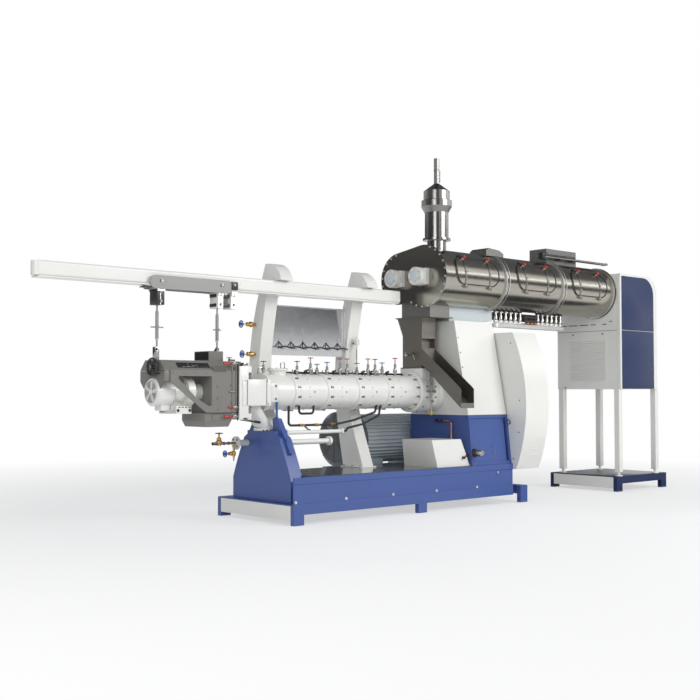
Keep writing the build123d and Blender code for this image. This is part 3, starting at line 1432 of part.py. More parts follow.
def hood():
    right = DIE_FACE - KNIFE_GAP
    top = AXIS_Z + HOOD_UP
    low = AXIS_Z - HOOD_DOWN
    sheet = HOOD_SHEET
    chamber = slab_x(hood_outline(0), CHAMBER_LEFT, right)
    chamber -= slab_x(hood_outline(sheet), CHAMBER_LEFT + sheet, right + 1)
    x0 = CHAMBER_LEFT + DROP_MARGIN
    chamber -= block(x0, right - DROP_MARGIN, -DROP_HALF, DROP_HALF, low - 1, AXIS_Z)
    box = block(*LOAD_BOX_X, *LOAD_BOX_Y, top - HOOD_SHOULDER, top + BOX_HEIGHT)
    chamber += box - slab_x(hood_outline(0), CHAMBER_LEFT, right)
    add("cutter_chamber", chamber)
    canopy = slab_x(hood_outline(0), HOOD_LEFT, CHAMBER_LEFT)
    canopy -= slab_x(hood_outline(sheet), HOOD_LEFT + sheet, CHAMBER_LEFT)
    wide = HOOD_HALF + 1
    canopy -= block(HOOD_LEFT - 1, CHAMBER_LEFT, -wide, wide, low - 1, top - HOOD_SHOULDER - sheet)
    canopy += block(*POST_X, -POST_HALF, POST_HALF, top, top + POST_HEIGHT)
    canopy += setting_screw()
    add("cutter_canopy", canopy)


def side_plates():
    right = DIE_FACE - KNIFE_GAP
    shoulder = AXIS_Z + HOOD_UP - HOOD_SHOULDER - 1
    corner = (SIDE_LEFT, SIDE_CORNER_Z)
    side = poly((SIDE_LEFT, shoulder), corner, (SIDE_KNEE_X, SIDE_LOW), (right, SIDE_LOW), (right, shoulder))
    x0, x1 = SIDE_GAP_X
    z0, z1 = SIDE_GAP_Z
    gap = poly((x0, z1), (x0, SIDE_GAP_CORNER_Z), SIDE_GAP_BEND, (SIDE_GAP_KNEE_X, z0), (x1, z0), (x1, z1))
    near = HOOD_HALF + SEAT
    far = near + SIDE_SHEET
    add("cutter_side_plates", slab_y(side - gap, -far, -near), slab_y(side - gap, near, far))


def knife_drive():
    right = DIE_FACE - KNIFE_GAP
    face = CHAMBER_LEFT - SEAT
    r = CUTTER_MOTOR_R
    x0 = CUTTER_MOTOR_X
    bevel = r / 8
    motor = turned_x(
        [
            (x0, 0),
            (x0, r - bevel),
            (x0 + bevel, r),
            (x0 + CUTTER_COWL, r),
            (x0 + CUTTER_COWL, CUTTER_BODY_R),
            (CUTTER_DRUM[0], CUTTER_BODY_R),
            (CUTTER_DRUM[0], r + bevel),
            (CUTTER_DRUM[1], r + bevel),
            (CUTTER_DRUM[1], CUTTER_NECK_R),
            (face, CUTTER_NECK_R),
            (face, 0),
        ],
        0,
        AXIS_Z,
    )
    motor += block(*TERMINAL_X, -TERMINAL_HALF, TERMINAL_HALF, AXIS_Z - TERMINAL_DROP, AXIS_Z)
    low, high = CUTTER_FOOT_Z
    motor += block(*CUTTER_FOOT_X, -CUTTER_FOOT_HALF, CUTTER_FOOT_HALF, low, low + CUTTER_FOOT_SHEET)
    for y in (-CUTTER_FOOT_HALF, CUTTER_FOOT_HALF - CUTTER_FOOT_SHEET):
        motor += block(*CUTTER_FOOT_X, y, y + CUTTER_FOOT_SHEET, low, high)
    motor += block(*CUTTER_FOOT_X, -CUTTER_BODY_R / 2, CUTTER_BODY_R / 2, low, AXIS_Z)
    add("cutter_motor", motor)
    tip = right - BLADE_GAP
    hub = rod_x(HUB_R, CHAMBER_LEFT + HOOD_SHEET + SEAT, tip + 2 * BLADE_SHEET, 0, AXIS_Z)
    for index in range(KNIVES):
        blade = Pos(tip, 0, KNIFE_R / 2) * Rot(0, 0, BLADE_PITCH) * Box(BLADE_SHEET, BLADE_WIDTH, KNIFE_R)
        hub += Pos(0, 0, AXIS_Z) * Rot(360 / KNIVES * index, 0, 0) * blade
    add("knife_rotor", hub)


def level_face(length, depth, z):
    return (Plane.XY.offset(z) * Pos(OUTLET_X, 0) * Rectangle(length, depth)).face()


def knife_outlet():
    top = AXIS_Z - HOOD_DOWN
    middle = top - OUTLET_COLLAR
    length = OUTLET_LEN - 2 * OUTLET_TAPER
    depth = OUTLET_DEPTH - OUTLET_TAPER
    outlet = loft([level_face(OUTLET_LEN, OUTLET_DEPTH, middle), level_face(OUTLET_LEN, OUTLET_DEPTH, top)])
    outlet += loft([level_face(length, depth, HOPPER_LOW), level_face(OUTLET_LEN, OUTLET_DEPTH, middle)])
    x = length / 2 - OUTLET_WALL
    y = depth / 2 - OUTLET_WALL + OUTLET_WALL / 3
    outlet -= block(OUTLET_X - x, OUTLET_X + x, -y, y, HOPPER_LOW - 1, AXIS_Z)
    add("cutter_outlet", outlet)


# Knife setting wheel on the end of the knife unit
def handwheel():
    wheel_x = HOOD_LEFT - WHEEL_OUT
    mid_r = HANDWHEEL_R - HANDWHEEL_RIM
    place = Pos(wheel_x, HANDWHEEL_Y, HANDWHEEL_Z)
    wheel = place * Rot(0, 90, 0) * Torus(mid_r, HANDWHEEL_RIM)
    for index in range(3):
        wheel += place * Rot(60 * index, 0, 0) * Box(HANDWHEEL_RIM, 2 * mid_r, 2 * HANDWHEEL_RIM)
    hub = HANDWHEEL_HUB
    wheel += rod_x(HANDWHEEL_HUB_R, wheel_x - hub, wheel_x + hub, HANDWHEEL_Y, HANDWHEEL_Z)
    hole = SCREW_R + PIN_CLEARANCE
    wheel -= rod_x(hole, wheel_x - hub - 1, wheel_x + hub + 1, HANDWHEEL_Y, HANDWHEEL_Z)
    add("cutter_handwheel", wheel)


base()
motor_frame()
pedestal()
barrel()
add("barrel_valves", *[valve(x, top) for x, top in VALVES])
barrel_hoses()
steam_manifold()
steam_valves()
die_end()
columns()
rail()
splash_panel()
main_motor()
gearbox()
belt_guard()
pump_cover()
oil_pipes()
chutes()
conditioner()
paddle_shafts()
doors()
vent_stack()
inlet()
nozzle_row()
drive_stand()
plinth()
end_bearings()
trolley()
hood()
side_plates()
knife_drive()
knife_outlet()
handwheel()

# Origin: the middle of the whole object's footprint, on the floor
everything = Compound([solid for solids in NODES.values() for solid in solids])
extent = everything.bounding_box()
shift = Pos(-(extent.min.X + extent.max.X) / 2, -(extent.min.Y + extent.max.Y) / 2, -extent.min.Z)
os.makedirs("parts", exist_ok=True)
for name, solids in NODES.items():
    placed = [shift * solid for solid in solids]
    shape = placed[0] if len(placed) == 1 else Compound(placed)
    export_step(shape, "parts/%s.step" % name)
print("origin in modelling coordinates", (extent.min.X + extent.max.X) / 2, (extent.min.Y + extent.max.Y) / 2)
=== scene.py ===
import math

import bmesh
import bpy
from mathutils import Matrix, Vector


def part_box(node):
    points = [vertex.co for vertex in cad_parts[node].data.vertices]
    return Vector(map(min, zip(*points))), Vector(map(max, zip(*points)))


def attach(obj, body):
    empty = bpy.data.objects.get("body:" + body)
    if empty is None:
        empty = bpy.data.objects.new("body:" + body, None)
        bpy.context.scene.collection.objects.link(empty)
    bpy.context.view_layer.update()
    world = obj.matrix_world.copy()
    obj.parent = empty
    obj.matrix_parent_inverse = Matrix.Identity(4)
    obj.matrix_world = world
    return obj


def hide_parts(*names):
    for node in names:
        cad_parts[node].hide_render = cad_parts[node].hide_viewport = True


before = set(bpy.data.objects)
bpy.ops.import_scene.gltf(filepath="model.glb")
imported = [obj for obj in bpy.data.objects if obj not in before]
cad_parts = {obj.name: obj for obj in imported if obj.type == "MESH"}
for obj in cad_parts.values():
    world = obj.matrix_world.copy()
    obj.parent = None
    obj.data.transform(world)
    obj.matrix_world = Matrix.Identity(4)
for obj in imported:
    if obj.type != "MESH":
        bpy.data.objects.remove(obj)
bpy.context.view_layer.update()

# Metres throughout. Places are given along the machine: x from the die end of the base,
# y from the barrel axis away from the operator, z from the floor. at() puts them in the frame.
BASE_HALF = 0.690
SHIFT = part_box("base_beam")[0] + Vector((0, BASE_HALF, 0))
SHIFT.z = 0

UP = (0, 0, 1)
LEFT = (-1, 0, 0)
RIGHT = (1, 0, 0)
FRONT = (0, -1, 0)
BACK = (0, 1, 0)

AXIS_Z = 1.405
JACKET_R = 0.200
FLANGE_R = 0.214
JOINTS = (0.452, 0.932, 1.412, 1.892)
BARREL_START = 0.062
BARREL_END = 2.372
COND_Z = 2.830
BIG_Y = -0.255
BIG_R = 0.350
SMALL_Y = 0.170
SMALL_R = 0.285
DOORS = 3
DOOR_FIRST = 3.010
DOOR_PITCH = 1.171
DOOR_HALF = 0.400
STRAP_OFFSET = 0.225
SHARP = math.radians(35)


def at(x, y, z):
    return SHIFT + Vector((x, y, z))


# Materials
COAT_ROUGH = 0.12
ROUGH_DRIFT = 0.07
FINE_SCALE = 14


def socket(shader, name, value):
    shader.inputs[name].default_value = value


def noise(material, stretch, scale, detail):
    """A noise over the object's own coordinates, stretched along its axes."""
    nodes = material.node_tree.nodes
    link = material.node_tree.links.new
    coords = nodes.new("ShaderNodeTexCoord")
    mapping = nodes.new("ShaderNodeMapping")
    socket(mapping, "Scale", stretch)
    link(coords.outputs["Object"], mapping.inputs["Vector"])
    texture = nodes.new("ShaderNodeTexNoise")
    socket(texture, "Scale", scale)
    socket(texture, "Detail", detail)
    link(mapping.outputs["Vector"], texture.inputs["Vector"])
    return texture.outputs["Fac"]


def surface(name, colour, rough, metal=0.0, coat=0.0, spread=0.06, scale=2.0, stretch=(1, 1, 1)):
    """A base material: its colour drifts with a soft noise, and its roughness with a finer one."""
    material = bpy.data.materials.new(name)
    material.use_nodes = True
    nodes = material.node_tree.nodes
    link = material.node_tree.links.new
    shader = nodes["Principled BSDF"]
    socket(shader, "Metallic", metal)
    socket(shader, "Coat Weight", coat)
    socket(shader, "Coat Roughness", COAT_ROUGH)
    mix = nodes.new("ShaderNodeMix")
    mix.data_type = "RGBA"
    for index, share in ((6, 1 - spread), (7, 1 + spread)):
        mix.inputs[index].default_value = [min(1, part * share) for part in colour] + [1]
    link(noise(material, stretch, scale, 6), mix.inputs[0])
    link(mix.outputs[2], shader.inputs["Base Color"])
    span = nodes.new("ShaderNodeMapRange")
    socket(span, "To Min", max(0.03, rough - ROUGH_DRIFT))
    socket(span, "To Max", rough + ROUGH_DRIFT)
    link(noise(material, stretch, scale * FINE_SCALE, 4), span.inputs["Value"])
    link(span.outputs["Result"], shader.inputs["Roughness"])
    return material


def bumped(material, scale, strength, distance, stretch=(1, 1, 1), round_edge=0.0):
    """Adds a fine relief, and a soft shading of sharp edges where round_edge is set."""
    nodes = material.node_tree.nodes
    link = material.node_tree.links.new
    bump = nodes.new("ShaderNodeBump")
    socket(bump, "Strength", strength)
    socket(bump, "Distance", distance)
    link(noise(material, stretch, scale, 3), bump.inputs["Height"])
    if round_edge:
        edge = nodes.new("ShaderNodeBevel")
        edge.samples = 4
        socket(edge, "Radius", round_edge)
        link(edge.outputs["Normal"], bump.inputs["Normal"])
    link(bump.outputs["Normal"], nodes["Principled BSDF"].inputs["Normal"])
    return material


def paint(name, colour, rough=0.32, coat=0.25, spread=0.05):
    material = surface(name, colour, rough, coat=coat, spread=spread, scale=1.6)
    return bumped(material, 420, 0.05, 0.001, round_edge=0.004)


def brushed(name, colour, rough, stretch, spread=0.16):
    material = surface(name, colour, rough, metal=1.0, spread=spread, scale=2.4, stretch=stretch)
    return bumped(material, 60, 0.06, 0.001, stretch=stretch, round_edge=0.002)


WHITE = paint("white_paint", (0.78, 0.775, 0.735))
# A darker, bluer copy of the white paint, as painted shade: the conditioner's plinth, the main motor's body
# and the bearing covers.
SHADED_WHITE = paint("shaded_white_paint", (0.60, 0.66, 0.68))
BLUE = paint("blue_paint", (0.052, 0.098, 0.31), rough=0.36, coat=0.1)
# A copy of the blue paint, darkened as painted shade: the drive housing's front sheets and the stand's
# base.
SHADED_BLUE = paint("shaded_blue_paint", (0.013, 0.028, 0.096), rough=0.46, coat=0.0)
DECK = paint("deck_gloss", (0.045, 0.05, 0.065), rough=0.14, coat=0.6, spread=0.2)
DARK = paint("dark_paint", (0.020, 0.021, 0.023), rough=0.42, coat=0.1, spread=0.2)
COWL = paint("cowl_grey", (0.105, 0.118, 0.128), rough=0.34, coat=0.2, spread=0.12)
GREY = paint("grey_paint", (0.19, 0.182, 0.166), rough=0.45, coat=0.05, spread=0.1)
GREY_LIGHT = paint("light_grey_paint", (0.30, 0.295, 0.285), rough=0.38, coat=0.1, spread=0.1)
# Half the grey paint's colour, as painted shade: the recessed panel on the chamber's front. The nozzle
# header uses it too.
SHADED_GREY = paint("shaded_grey_paint", (0.095, 0.09, 0.083), rough=0.5, coat=0.0, spread=0.1)
STAINLESS = brushed("stainless", (0.42, 0.40, 0.355), 0.20, (1.0, 9.0, 9.0))
STACK = brushed("stack_stainless", (0.27, 0.265, 0.255), 0.22, (9.0, 9.0, 1.0))
CHUTE = brushed("matt_stainless", (0.235, 0.22, 0.20), 0.48, (3.0, 3.0, 18.0), spread=0.1)
DULL = brushed("dull_stainless", (0.26, 0.255, 0.245), 0.42, (3.0, 3.0, 12.0), spread=0.1)
POLISHED = brushed("polished_sheet", (0.66, 0.67, 0.68), 0.15, (1.0, 1.0, 4.0), spread=0.08)
BRIGHT = brushed("bright_steel", (0.38, 0.375, 0.36), 0.24, (6.0, 6.0, 6.0), spread=0.1)
ZINC = brushed("zinc_plate", (0.72, 0.72, 0.71), 0.42, (6.0, 6.0, 6.0), spread=0.08)
IRON = brushed("machined_iron", (0.24, 0.235, 0.23), 0.38, (5.0, 5.0, 5.0))
BRASS = brushed("brass", (0.62, 0.39, 0.13), 0.28, (8.0, 8.0, 8.0))
COPPER = brushed("copper", (0.62, 0.25, 0.13), 0.25, (6.0, 6.0, 6.0))
RUBBER = bumped(surface("black_rubber", (0.018, 0.018, 0.019), 0.6, spread=0.3, scale=20), 300, 0.2, 0.001)
RED = paint("red_plastic", (0.50, 0.02, 0.02), rough=0.3)
WHEEL_BLUE = paint("wheel_blue", (0.02, 0.10, 0.42), rough=0.35)
YELLOW = paint("yellow_plastic", (0.60, 0.46, 0.05), rough=0.35)
CARD = surface("dark_card", (0.045, 0.045, 0.05), 0.9, spread=0.1)
CARD_SOFT = surface("grey_card", (0.20, 0.20, 0.205), 0.9, spread=0.1)
# Painted shade: a near-black that stands for the shadow inside slots, openings and seams.
SLOT_SHADE = bumped(surface("shadowed_slot", (0.012, 0.012, 0.013), 0.8, spread=0.3, scale=30), 200, 0.1, 0.001)

SLOT_MATERIALS = {
    "white_paint": (WHITE, SHADED_WHITE),
    "blue_paint": (BLUE, SHADED_BLUE),
    "dark_paint": (DARK, COWL, SLOT_SHADE),
    "grey_steel": (GREY, GREY_LIGHT, SHADED_GREY),
    "stainless": (BRIGHT, ZINC),
    "cast_parts": (IRON,),
    "brass": (BRASS, COPPER),
    "hose_rubber": (RUBBER,),
}
SLOTS = {material: slot for slot, group in SLOT_MATERIALS.items() for material in group}

NODE_MATERIALS = {
    WHITE: (
        "base_end_panel die_block barrel_segments feed_head bearing_housing bow_columns overhead_rail"
        " gearbox_cover belt_guard pump_cover drive_housing cutter_motor stand_legs discharge_elbow"
        " shaft_bearings steam_manifold stand_end_panel die_plate"
    ),
    SHADED_WHITE: "conditioner_plinth motor_body",
    BLUE: "base_beam cross_frames base_feet motor_frame pedestal gearbox_lower",
    SHADED_BLUE: "stand_base",
    DECK: "base_deck",
    DARK: "die_gasket cutter_handwheel",
    COWL: "motor_fan_cowl",
    GREY: "cutter_chamber cutter_canopy cutter_side_plates cutter_outlet",
    GREY_LIGHT: "trolley_plates",
    STAINLESS: (
        "conditioner_section_1 conditioner_section_2 conditioner_section_3 conditioner_flanges"
        " door_1 door_2 door_3 door_hinges"
    ),
    STACK: "vent_stack",
    CHUTE: "feed_chute bypass_slide",
    DULL: "powder_inlet top_lid conditioner_neck",
    POLISHED: "splash_panel",
    ZINC: "rod_hangers nozzle_row",
    IRON: "knife_rotor paddle_shafts",
    BRASS: "barrel_valves steam_valves",
    COPPER: "oil_pipes",
    RUBBER: "barrel_hoses",
}


def dress_nodes():
    for material, names in NODE_MATERIALS.items():
        for name in names.split():
            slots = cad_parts[name].data.materials
            slots.clear()
            slots.append(material)


# Mesh building
def fresh(count):
    """Empty meshes to build in."""
    return [bmesh.new() for _ in range(count)]


def circle(count, start=0.0):
    """The cosine and sine of equal turns round a circle."""
    turns = [start + 2 * math.pi * step / count for step in range(count)]
    return [(math.cos(turn), math.sin(turn)) for turn in turns]


def arc(x, y, radius, low, high, steps=16):
    """Points on an arc about (x, y), between two angles in degrees."""
    turns = [math.radians(low + (high - low) * step / steps) for step in range(steps + 1)]
    return [(x + radius * math.cos(turn), y + radius * math.sin(turn)) for turn in turns]


def aim(direction):
    """A rotation that turns +z towards direction."""
    return Vector(direction).to_track_quat("Z", "Y").to_matrix().to_4x4()


def bridge(mesh, low, high):
    """Joins two rings of points, with triangles where a ring is a single point."""
    faces = []
    for step in range(len(low)):
        after = (step + 1) % len(low)
        corners = list(dict.fromkeys((low[step], low[after], high[after], high[step])))
        if len(corners) > 2:
            faces.append(mesh.faces.new(corners))
    return faces


def tube(mesh, rings):
    """Joins a row of rings and closes both ends."""
    faces = [mesh.faces.new(rings[0][::-1]), mesh.faces.new(rings[-1])]
    for low, high in zip(rings, rings[1:]):
        faces += bridge(mesh, low, high)
    return faces


def disc(radius, low, high):
    """The profile of a plain disc between two heights."""
    return [(0, low), (radius, low), (radius, high), (0, high)]


def lathe(mesh, profile, origin, axis=UP, segments=20, closed=False):
    """Turns a profile of (radius, height) points about an axis through origin."""
    place = Matrix.Translation(origin) @ aim(axis)
    rings = []
    for radius, height in profile:
        if not radius:
            rings.append([mesh.verts.new(place @ Vector((0, 0, height)))] * segments)
            continue
        points = [Vector((radius * c, radius * s, height)) for c, s in circle(segments)]
        rings.append([mesh.verts.new(place @ point) for point in points])
    if closed:
        rings.append(rings[0])
    for low, high in zip(rings, rings[1:]):
        bridge(mesh, low, high)


def ring(mesh, origin, axis, radius, wire, segments, around):
    profile = [(radius + wire * c, wire * s) for c, s in circle(around)]
    lathe(mesh, profile, origin, axis, segments, closed=True)


def rod(mesh, start, end, radius, segments):
    way = end - start
    lathe(mesh, disc(radius, 0, way.length), start, way, segments)


def rods(mesh, radius, segments, *spans):
    """Rods between pairs of places, given along the machine."""
    for start, end in spans:
        rod(mesh, at(*start), at(*end), radius, segments)


def spokes(mesh, centre, inner, outer, radius, segments):
    """Eight rods that run out from an axis along the machine."""
    for c, s in circle(8):
        out = Vector((0, c, s))
        rod(mesh, centre + out * inner, centre + out * outer, radius, segments)


def bolt(mesh, origin, axis, size):
    """A hexagon head on a washer; size is the radius over its corners."""
    washer = size * 0.15
    lathe(mesh, disc(size * 1.25, 0, washer), origin, axis, 12)
    head = [(0, washer), (size, washer), (size, size * 0.75), (size * 0.82, size * 0.9), (0, size * 0.9)]
    lathe(mesh, head, origin, axis, 6)


def bolts(mesh, size, axis, *places):
    for place in places:
        bolt(mesh, at(*place), axis, size)


def bolt_arc(mesh, centre, radius, count, low, high, size):
    """Bolts that point left, on an arc between two angles in degrees."""
    x, y, z = centre
    bolts(mesh, size, LEFT, *[(x, *place) for place in arc(y, z, radius, low, high, count - 1)])


def slab(mesh, outline, depth, origin=(0, 0, 0), turn=None, edge=0.0):
    """Extrudes an outline of (x, y) points along +z, with its edges bevelled."""
    place = Matrix.Translation(origin) @ (turn or Matrix.Identity(4))
    rings = [[mesh.verts.new(place @ Vector((x, y, z))) for x, y in outline] for z in (0, depth)]
    faces = tube(mesh, rings)
    if edge:
        edges = {e for face in faces for e in face.edges}
        bmesh.ops.bevel(mesh, geom=list(edges), offset=edge, segments=2, affect="EDGES", profile=0.5)


def block(mesh, low, high, edge=0.002):
    """A bevelled box between two corners, given along the machine."""
    low = Vector(low)
    high = Vector(high)
    outline = [(low.x, low.y), (high.x, low.y), (high.x, high.y), (low.x, high.y)]
    slab(mesh, outline, high.z - low.z, SHIFT + Vector((0, 0, low.z)), edge=edge)


def blocks(mesh, edge, *corners):
    for low, high in corners:
        block(mesh, low, high, edge)


def arc_bar(mesh, x0, x1, r0, r1, low, high, steps):
    """A bar bent round the big drum, between two angles in degrees."""
    rings = []
    for c, s in arc(0, 0, 1, low, high, steps):
        out = Vector((0, c, s))
        corners = ((x0, r0), (x1, r0), (x1, r1), (x0, r1))
        rings.append([mesh.verts.new(at(x, BIG_Y, COND_Z) + out * r) for x, r in corners])
    tube(mesh, rings)


def rounded(points, bend, steps=5):
    """The points of a route with its corners rounded."""
    route = [points[0]]
    for before, corner, after in zip(points, points[1:], points[2:]):
        reach = min(bend, (corner - before).length / 2, (after - corner).length / 2)
        start = corner + (before - corner).normalized() * reach
        end = corner + (after - corner).normalized() * reach
        for step in range(steps + 1):
            share = step / steps
            route.append(start * (1 - share) ** 2 + corner * 2 * share * (1 - share) + end * share**2)
    route.append(points[-1])
    return route


def pipe(mesh, points, radius, bend, segments):
    """A round pipe along a route, given along the machine."""
    route = []
    for point in rounded([at(*point) for point in points], bend):
        if not route or (point - route[-1]).length > 1e-5:
            route.append(point)
    side = (route[1] - route[0]).orthogonal()
    rings = []
    for index, point in enumerate(route):
        before = route[max(index - 1, 0)]
        after = route[min(index + 1, len(route) - 1)]
        way = (after - before).normalized()
        side = (side - way * side.dot(way)).normalized()
        other = way.cross(side)
        outs = [side * c + other * s for c, s in circle(segments)]
        rings.append([mesh.verts.new(point + out * radius) for out in outs])
    tube(mesh, rings)


def piece(name, mesh, material, body="frame", slot=None):
    """Makes the mesh an object that rides on a body.

    Its slot is worked out from the material unless one is given, and an empty one means none, but the slot
    is not put on the object.
    """
    bmesh.ops.recalc_face_normals(mesh, faces=mesh.faces)
    data = bpy.data.meshes.new(name)
    mesh.to_mesh(data)
    mesh.free()
    data.materials.append(material)
    data.shade_smooth()
    data.set_sharp_from_angle(angle=SHARP)
    thing = bpy.data.objects.new(name, data)
    bpy.context.scene.collection.objects.link(thing)
    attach(thing, body)
    if slot is None:
        slot = SLOTS.get(material)
    return thing


# Valves on the barrel: (x, wheel height, colour)
VALVES = (
    (0.086, 1.746, "blue"),
    (0.564, 1.755, "blue"),
    (0.762, 1.799, "red"),
    (0.859, 1.727, "steel"),
    (1.011, 1.752, "blue"),
    (1.212, 1.797, "red"),
    (1.322, 1.799, "red"),
    (1.478, 1.749, "blue"),
    (1.659, 1.806, "red"),
    (1.774, 1.803, "red"),
    (1.892, 1.762, "blue"),
    (2.111, 1.822, "red"),
)
VALVE_PAINTS = {"red": RED, "blue": WHEEL_BLUE, "steel": BRIGHT}
VALVE_Y = -0.040
VALVE_R = 0.022
WHEEL_R = 0.034
SIDE_LOOP = 0.07
FLANGE_REACH = 0.06
# The outline of a globe valve as shares of its radius and its length: collar, belly, bonnet, stem
VALVE_SHAPE = (
    (0, 0), (0.65, 0), (0.65, 0.18), (1, 0.24), (1, 0.38), (0.6, 0.46),
    (0.75, 0.50), (0.75, 0.62), (0.3, 0.68), (0.3, 1), (0, 1),
)


def hand_wheel(mesh, centre, axis, radius, wire):
    rim = radius - wire
    ring(mesh, centre, axis, rim, wire, 24, 6)
    place = Matrix.Translation(centre) @ aim(axis)
    for c, s in circle(6)[:3]:
        reach = Vector((c, s, 0)) * rim
        rod(mesh, place @ -reach, place @ reach, wire * 0.6, 6)
    lathe(mesh, disc(wire * 2.2, -wire, wire * 1.4), centre, axis, 10)


def valve_body(mesh, foot, axis, length, radius):
    lathe(mesh, [(radius * out, length * up) for out, up in VALVE_SHAPE], foot, axis, 12)


def barrel_valves():
    bodies = {colour: bmesh.new() for colour in VALVE_PAINTS}
    wheels = {colour: bmesh.new() for colour in VALVE_PAINTS}
    loops = bmesh.new()
    y = VALVE_Y
    for x, top, colour in VALVES:
        near = min(abs(x - joint) for joint in (BARREL_START, *JOINTS, BARREL_END)) < FLANGE_REACH
        z = AXIS_Z + math.sqrt((FLANGE_R if near else JACKET_R) ** 2 - y**2) - 0.002
        valve_body(bodies[colour], at(x, y, z), UP, top - z, VALVE_R)
        hand_wheel(wheels[colour], at(x, y, top - 0.006), UP, WHEEL_R, 0.005)
        if colour == "red":
            rods(bodies[colour], 0.011, 8, ((x - 0.030, y, z + 0.055), (x + 0.026, y, z + 0.055)))
        else:
            side = x - SIDE_LOOP
            pipe(loops, [(side, y, z), (side, y, z + 0.06), (x, y, z + 0.06)], 0.0065, 0.03, 8)
            rods(loops, 0.012, 6, ((side, y, z - 0.01), (side, y, z + 0.022)))
    for colour, mesh in bodies.items():
        piece("valve_bodies_" + colour, mesh, BRIGHT, slot="brass")
        piece("valve_wheels_" + colour, wheels[colour], VALVE_PAINTS[colour], slot="")
    piece("valve_loops", loops, BRIGHT)
    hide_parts("barrel_valves")


# Bolts, sensors and hose fittings on the barrel
RING_BOLTS = 12
RING_START = math.radians(15)
FLANGE_BOLT_X = (0.006, 0.030)
LAST_FLANGE_X = BARREL_END - 0.042
PLUG_OFFSET = 0.240
SCREW_OFFSET = 0.180
BOLT_SINK = 0.001
HEAD_BOLT_X = (2.46, 2.62)
HEAD_BOLT_R = 0.251
PORT_X = 0.317
PORT_Z = 1.666
PORT_BOLT_R = 0.1
SENSOR_X = (0.257, 0.620, 0.767, 1.194, 1.658, 1.787, 2.064)
SENSOR_Y = 0.060
SENSOR_Z = (1.585, 1.640, 1.655)
HOSE_Y = -0.12
HOSE_Z = 1.032
COUPLING_X = (0.56, 0.78, 1.02)
COUPLING = [(0, 0), (0.019, 0), (0.019, 0.018), (0.015, 0.018), (0.015, 0.045), (0, 0.045)]
DROP_X = (0.61, 0.95)


def radial_bolts(mesh, x, radius, count, size, start):
    for c, s in circle(count, start):
        out = Vector((0, c, s))
        bolt(mesh, at(x, 0, AXIS_Z) + out * radius, out, size)


def barrel_bolts():
    mesh, head = fresh(2)
    for joint in (*JOINTS, LAST_FLANGE_X):
        for side in FLANGE_BOLT_X:
            radial_bolts(mesh, joint + side, FLANGE_R - BOLT_SINK, RING_BOLTS, 0.0105, RING_START)
    for joint in JOINTS:
        radial_bolts(mesh, joint + PLUG_OFFSET, JACKET_R - BOLT_SINK, 4, 0.008, 0)
        radial_bolts(mesh, joint + SCREW_OFFSET, JACKET_R - BOLT_SINK, RING_BOLTS, 0.0055, RING_START)
    piece("barrel_bolts", mesh, IRON)
    for x in HEAD_BOLT_X:
        radial_bolts(head, x, HEAD_BOLT_R, RING_BOLTS, 0.011, RING_START)
    bolts(head, 0.008, UP, *[(PORT_X + PORT_BOLT_R * c, PORT_BOLT_R * s, PORT_Z) for c, s in circle(8)])
    piece("head_bolts", head, BRIGHT, slot="cast_parts")


def port_handle():
    mesh = bmesh.new()
    x0, x1, y = 0.313, 0.369, -0.06
    top = PORT_Z + 0.07
    pipe(mesh, [(x0, y, PORT_Z), (x0, y, top), (x1, y, top), (x1, y, PORT_Z)], 0.006, 0.028, 8)
    piece("port_handle", mesh, BRIGHT)


def barrel_sensors():
    """Dark sensor heads behind the valves, each on a short stem."""
    mesh = bmesh.new()
    foot, neck, tip = SENSOR_Z
    for x in SENSOR_X:
        rods(mesh, 0.009, 8, ((x, SENSOR_Y, foot), (x, SENSOR_Y, neck)))
        rods(mesh, 0.013, 10, ((x - 0.012, SENSOR_Y, neck), (x + 0.034, SENSOR_Y, tip)))
    piece("barrel_sensors", mesh, DARK)


def hose_couplings():
    """Brass couplings and small drops on the lower water hose."""
    mesh, drops = fresh(2)
    for x in COUPLING_X:
        lathe(mesh, COUPLING, at(x, HOSE_Y, HOSE_Z), RIGHT, 6)
        rods(mesh, 0.018, 6, ((x - 0.028, HOSE_Y, HOSE_Z), (x, HOSE_Y, HOSE_Z)))
    piece("hose_couplings", mesh, BRASS)
    for x in DROP_X:
        rods(drops, 0.010, 8, ((x, HOSE_Y, 1.020), (x, -0.20, 0.975)))
        rods(drops, 0.015, 8, ((x, -0.20, 0.985), (x, -0.215, 0.960)))
    piece("hose_drops", drops, BRIGHT)


# Steam fittings: the group at the pedestal, the two valves on a column, and the regulator
COLUMN_VALVES = ((0.060, 2.171), (0.075, 1.833))
COLUMN_VALVE_Y = 0.340
COLUMN_LEFT = 0.260
STEAM_Y = 0.250
STEAM_Z = 0.840
STEAM_LEFT = -0.385
STEAM_NUTS = (STEAM_LEFT, -0.350, -0.245, -0.180)
PEDESTAL_SIDE = 0.0915
DISC_X = -0.080
DISC_R = 0.074
STEAM_VALVE_X = -0.298
DRAIN_LEFT = -0.217
DRAIN_X = DISC_X - 0.020
DRAIN_Z = 0.725
DRAIN_CONE = [(0.006, -0.085), (0.012, -0.03), (0.024, -0.018), (0.024, 0.018), (0.012, 0.03)]
BIG_WHEEL_R = 0.044
REGULATOR = (1.668, 0.170)
REGULATOR_Z = 1.975
REGULATOR_SHAPE = [
    (0, 0), (0.028, 0), (0.034, 0.012), (0.034, 0.055),
    (0.018, 0.075), (0.018, 0.095), (0, 0.095),
]
SHELF_BACK = 0.285


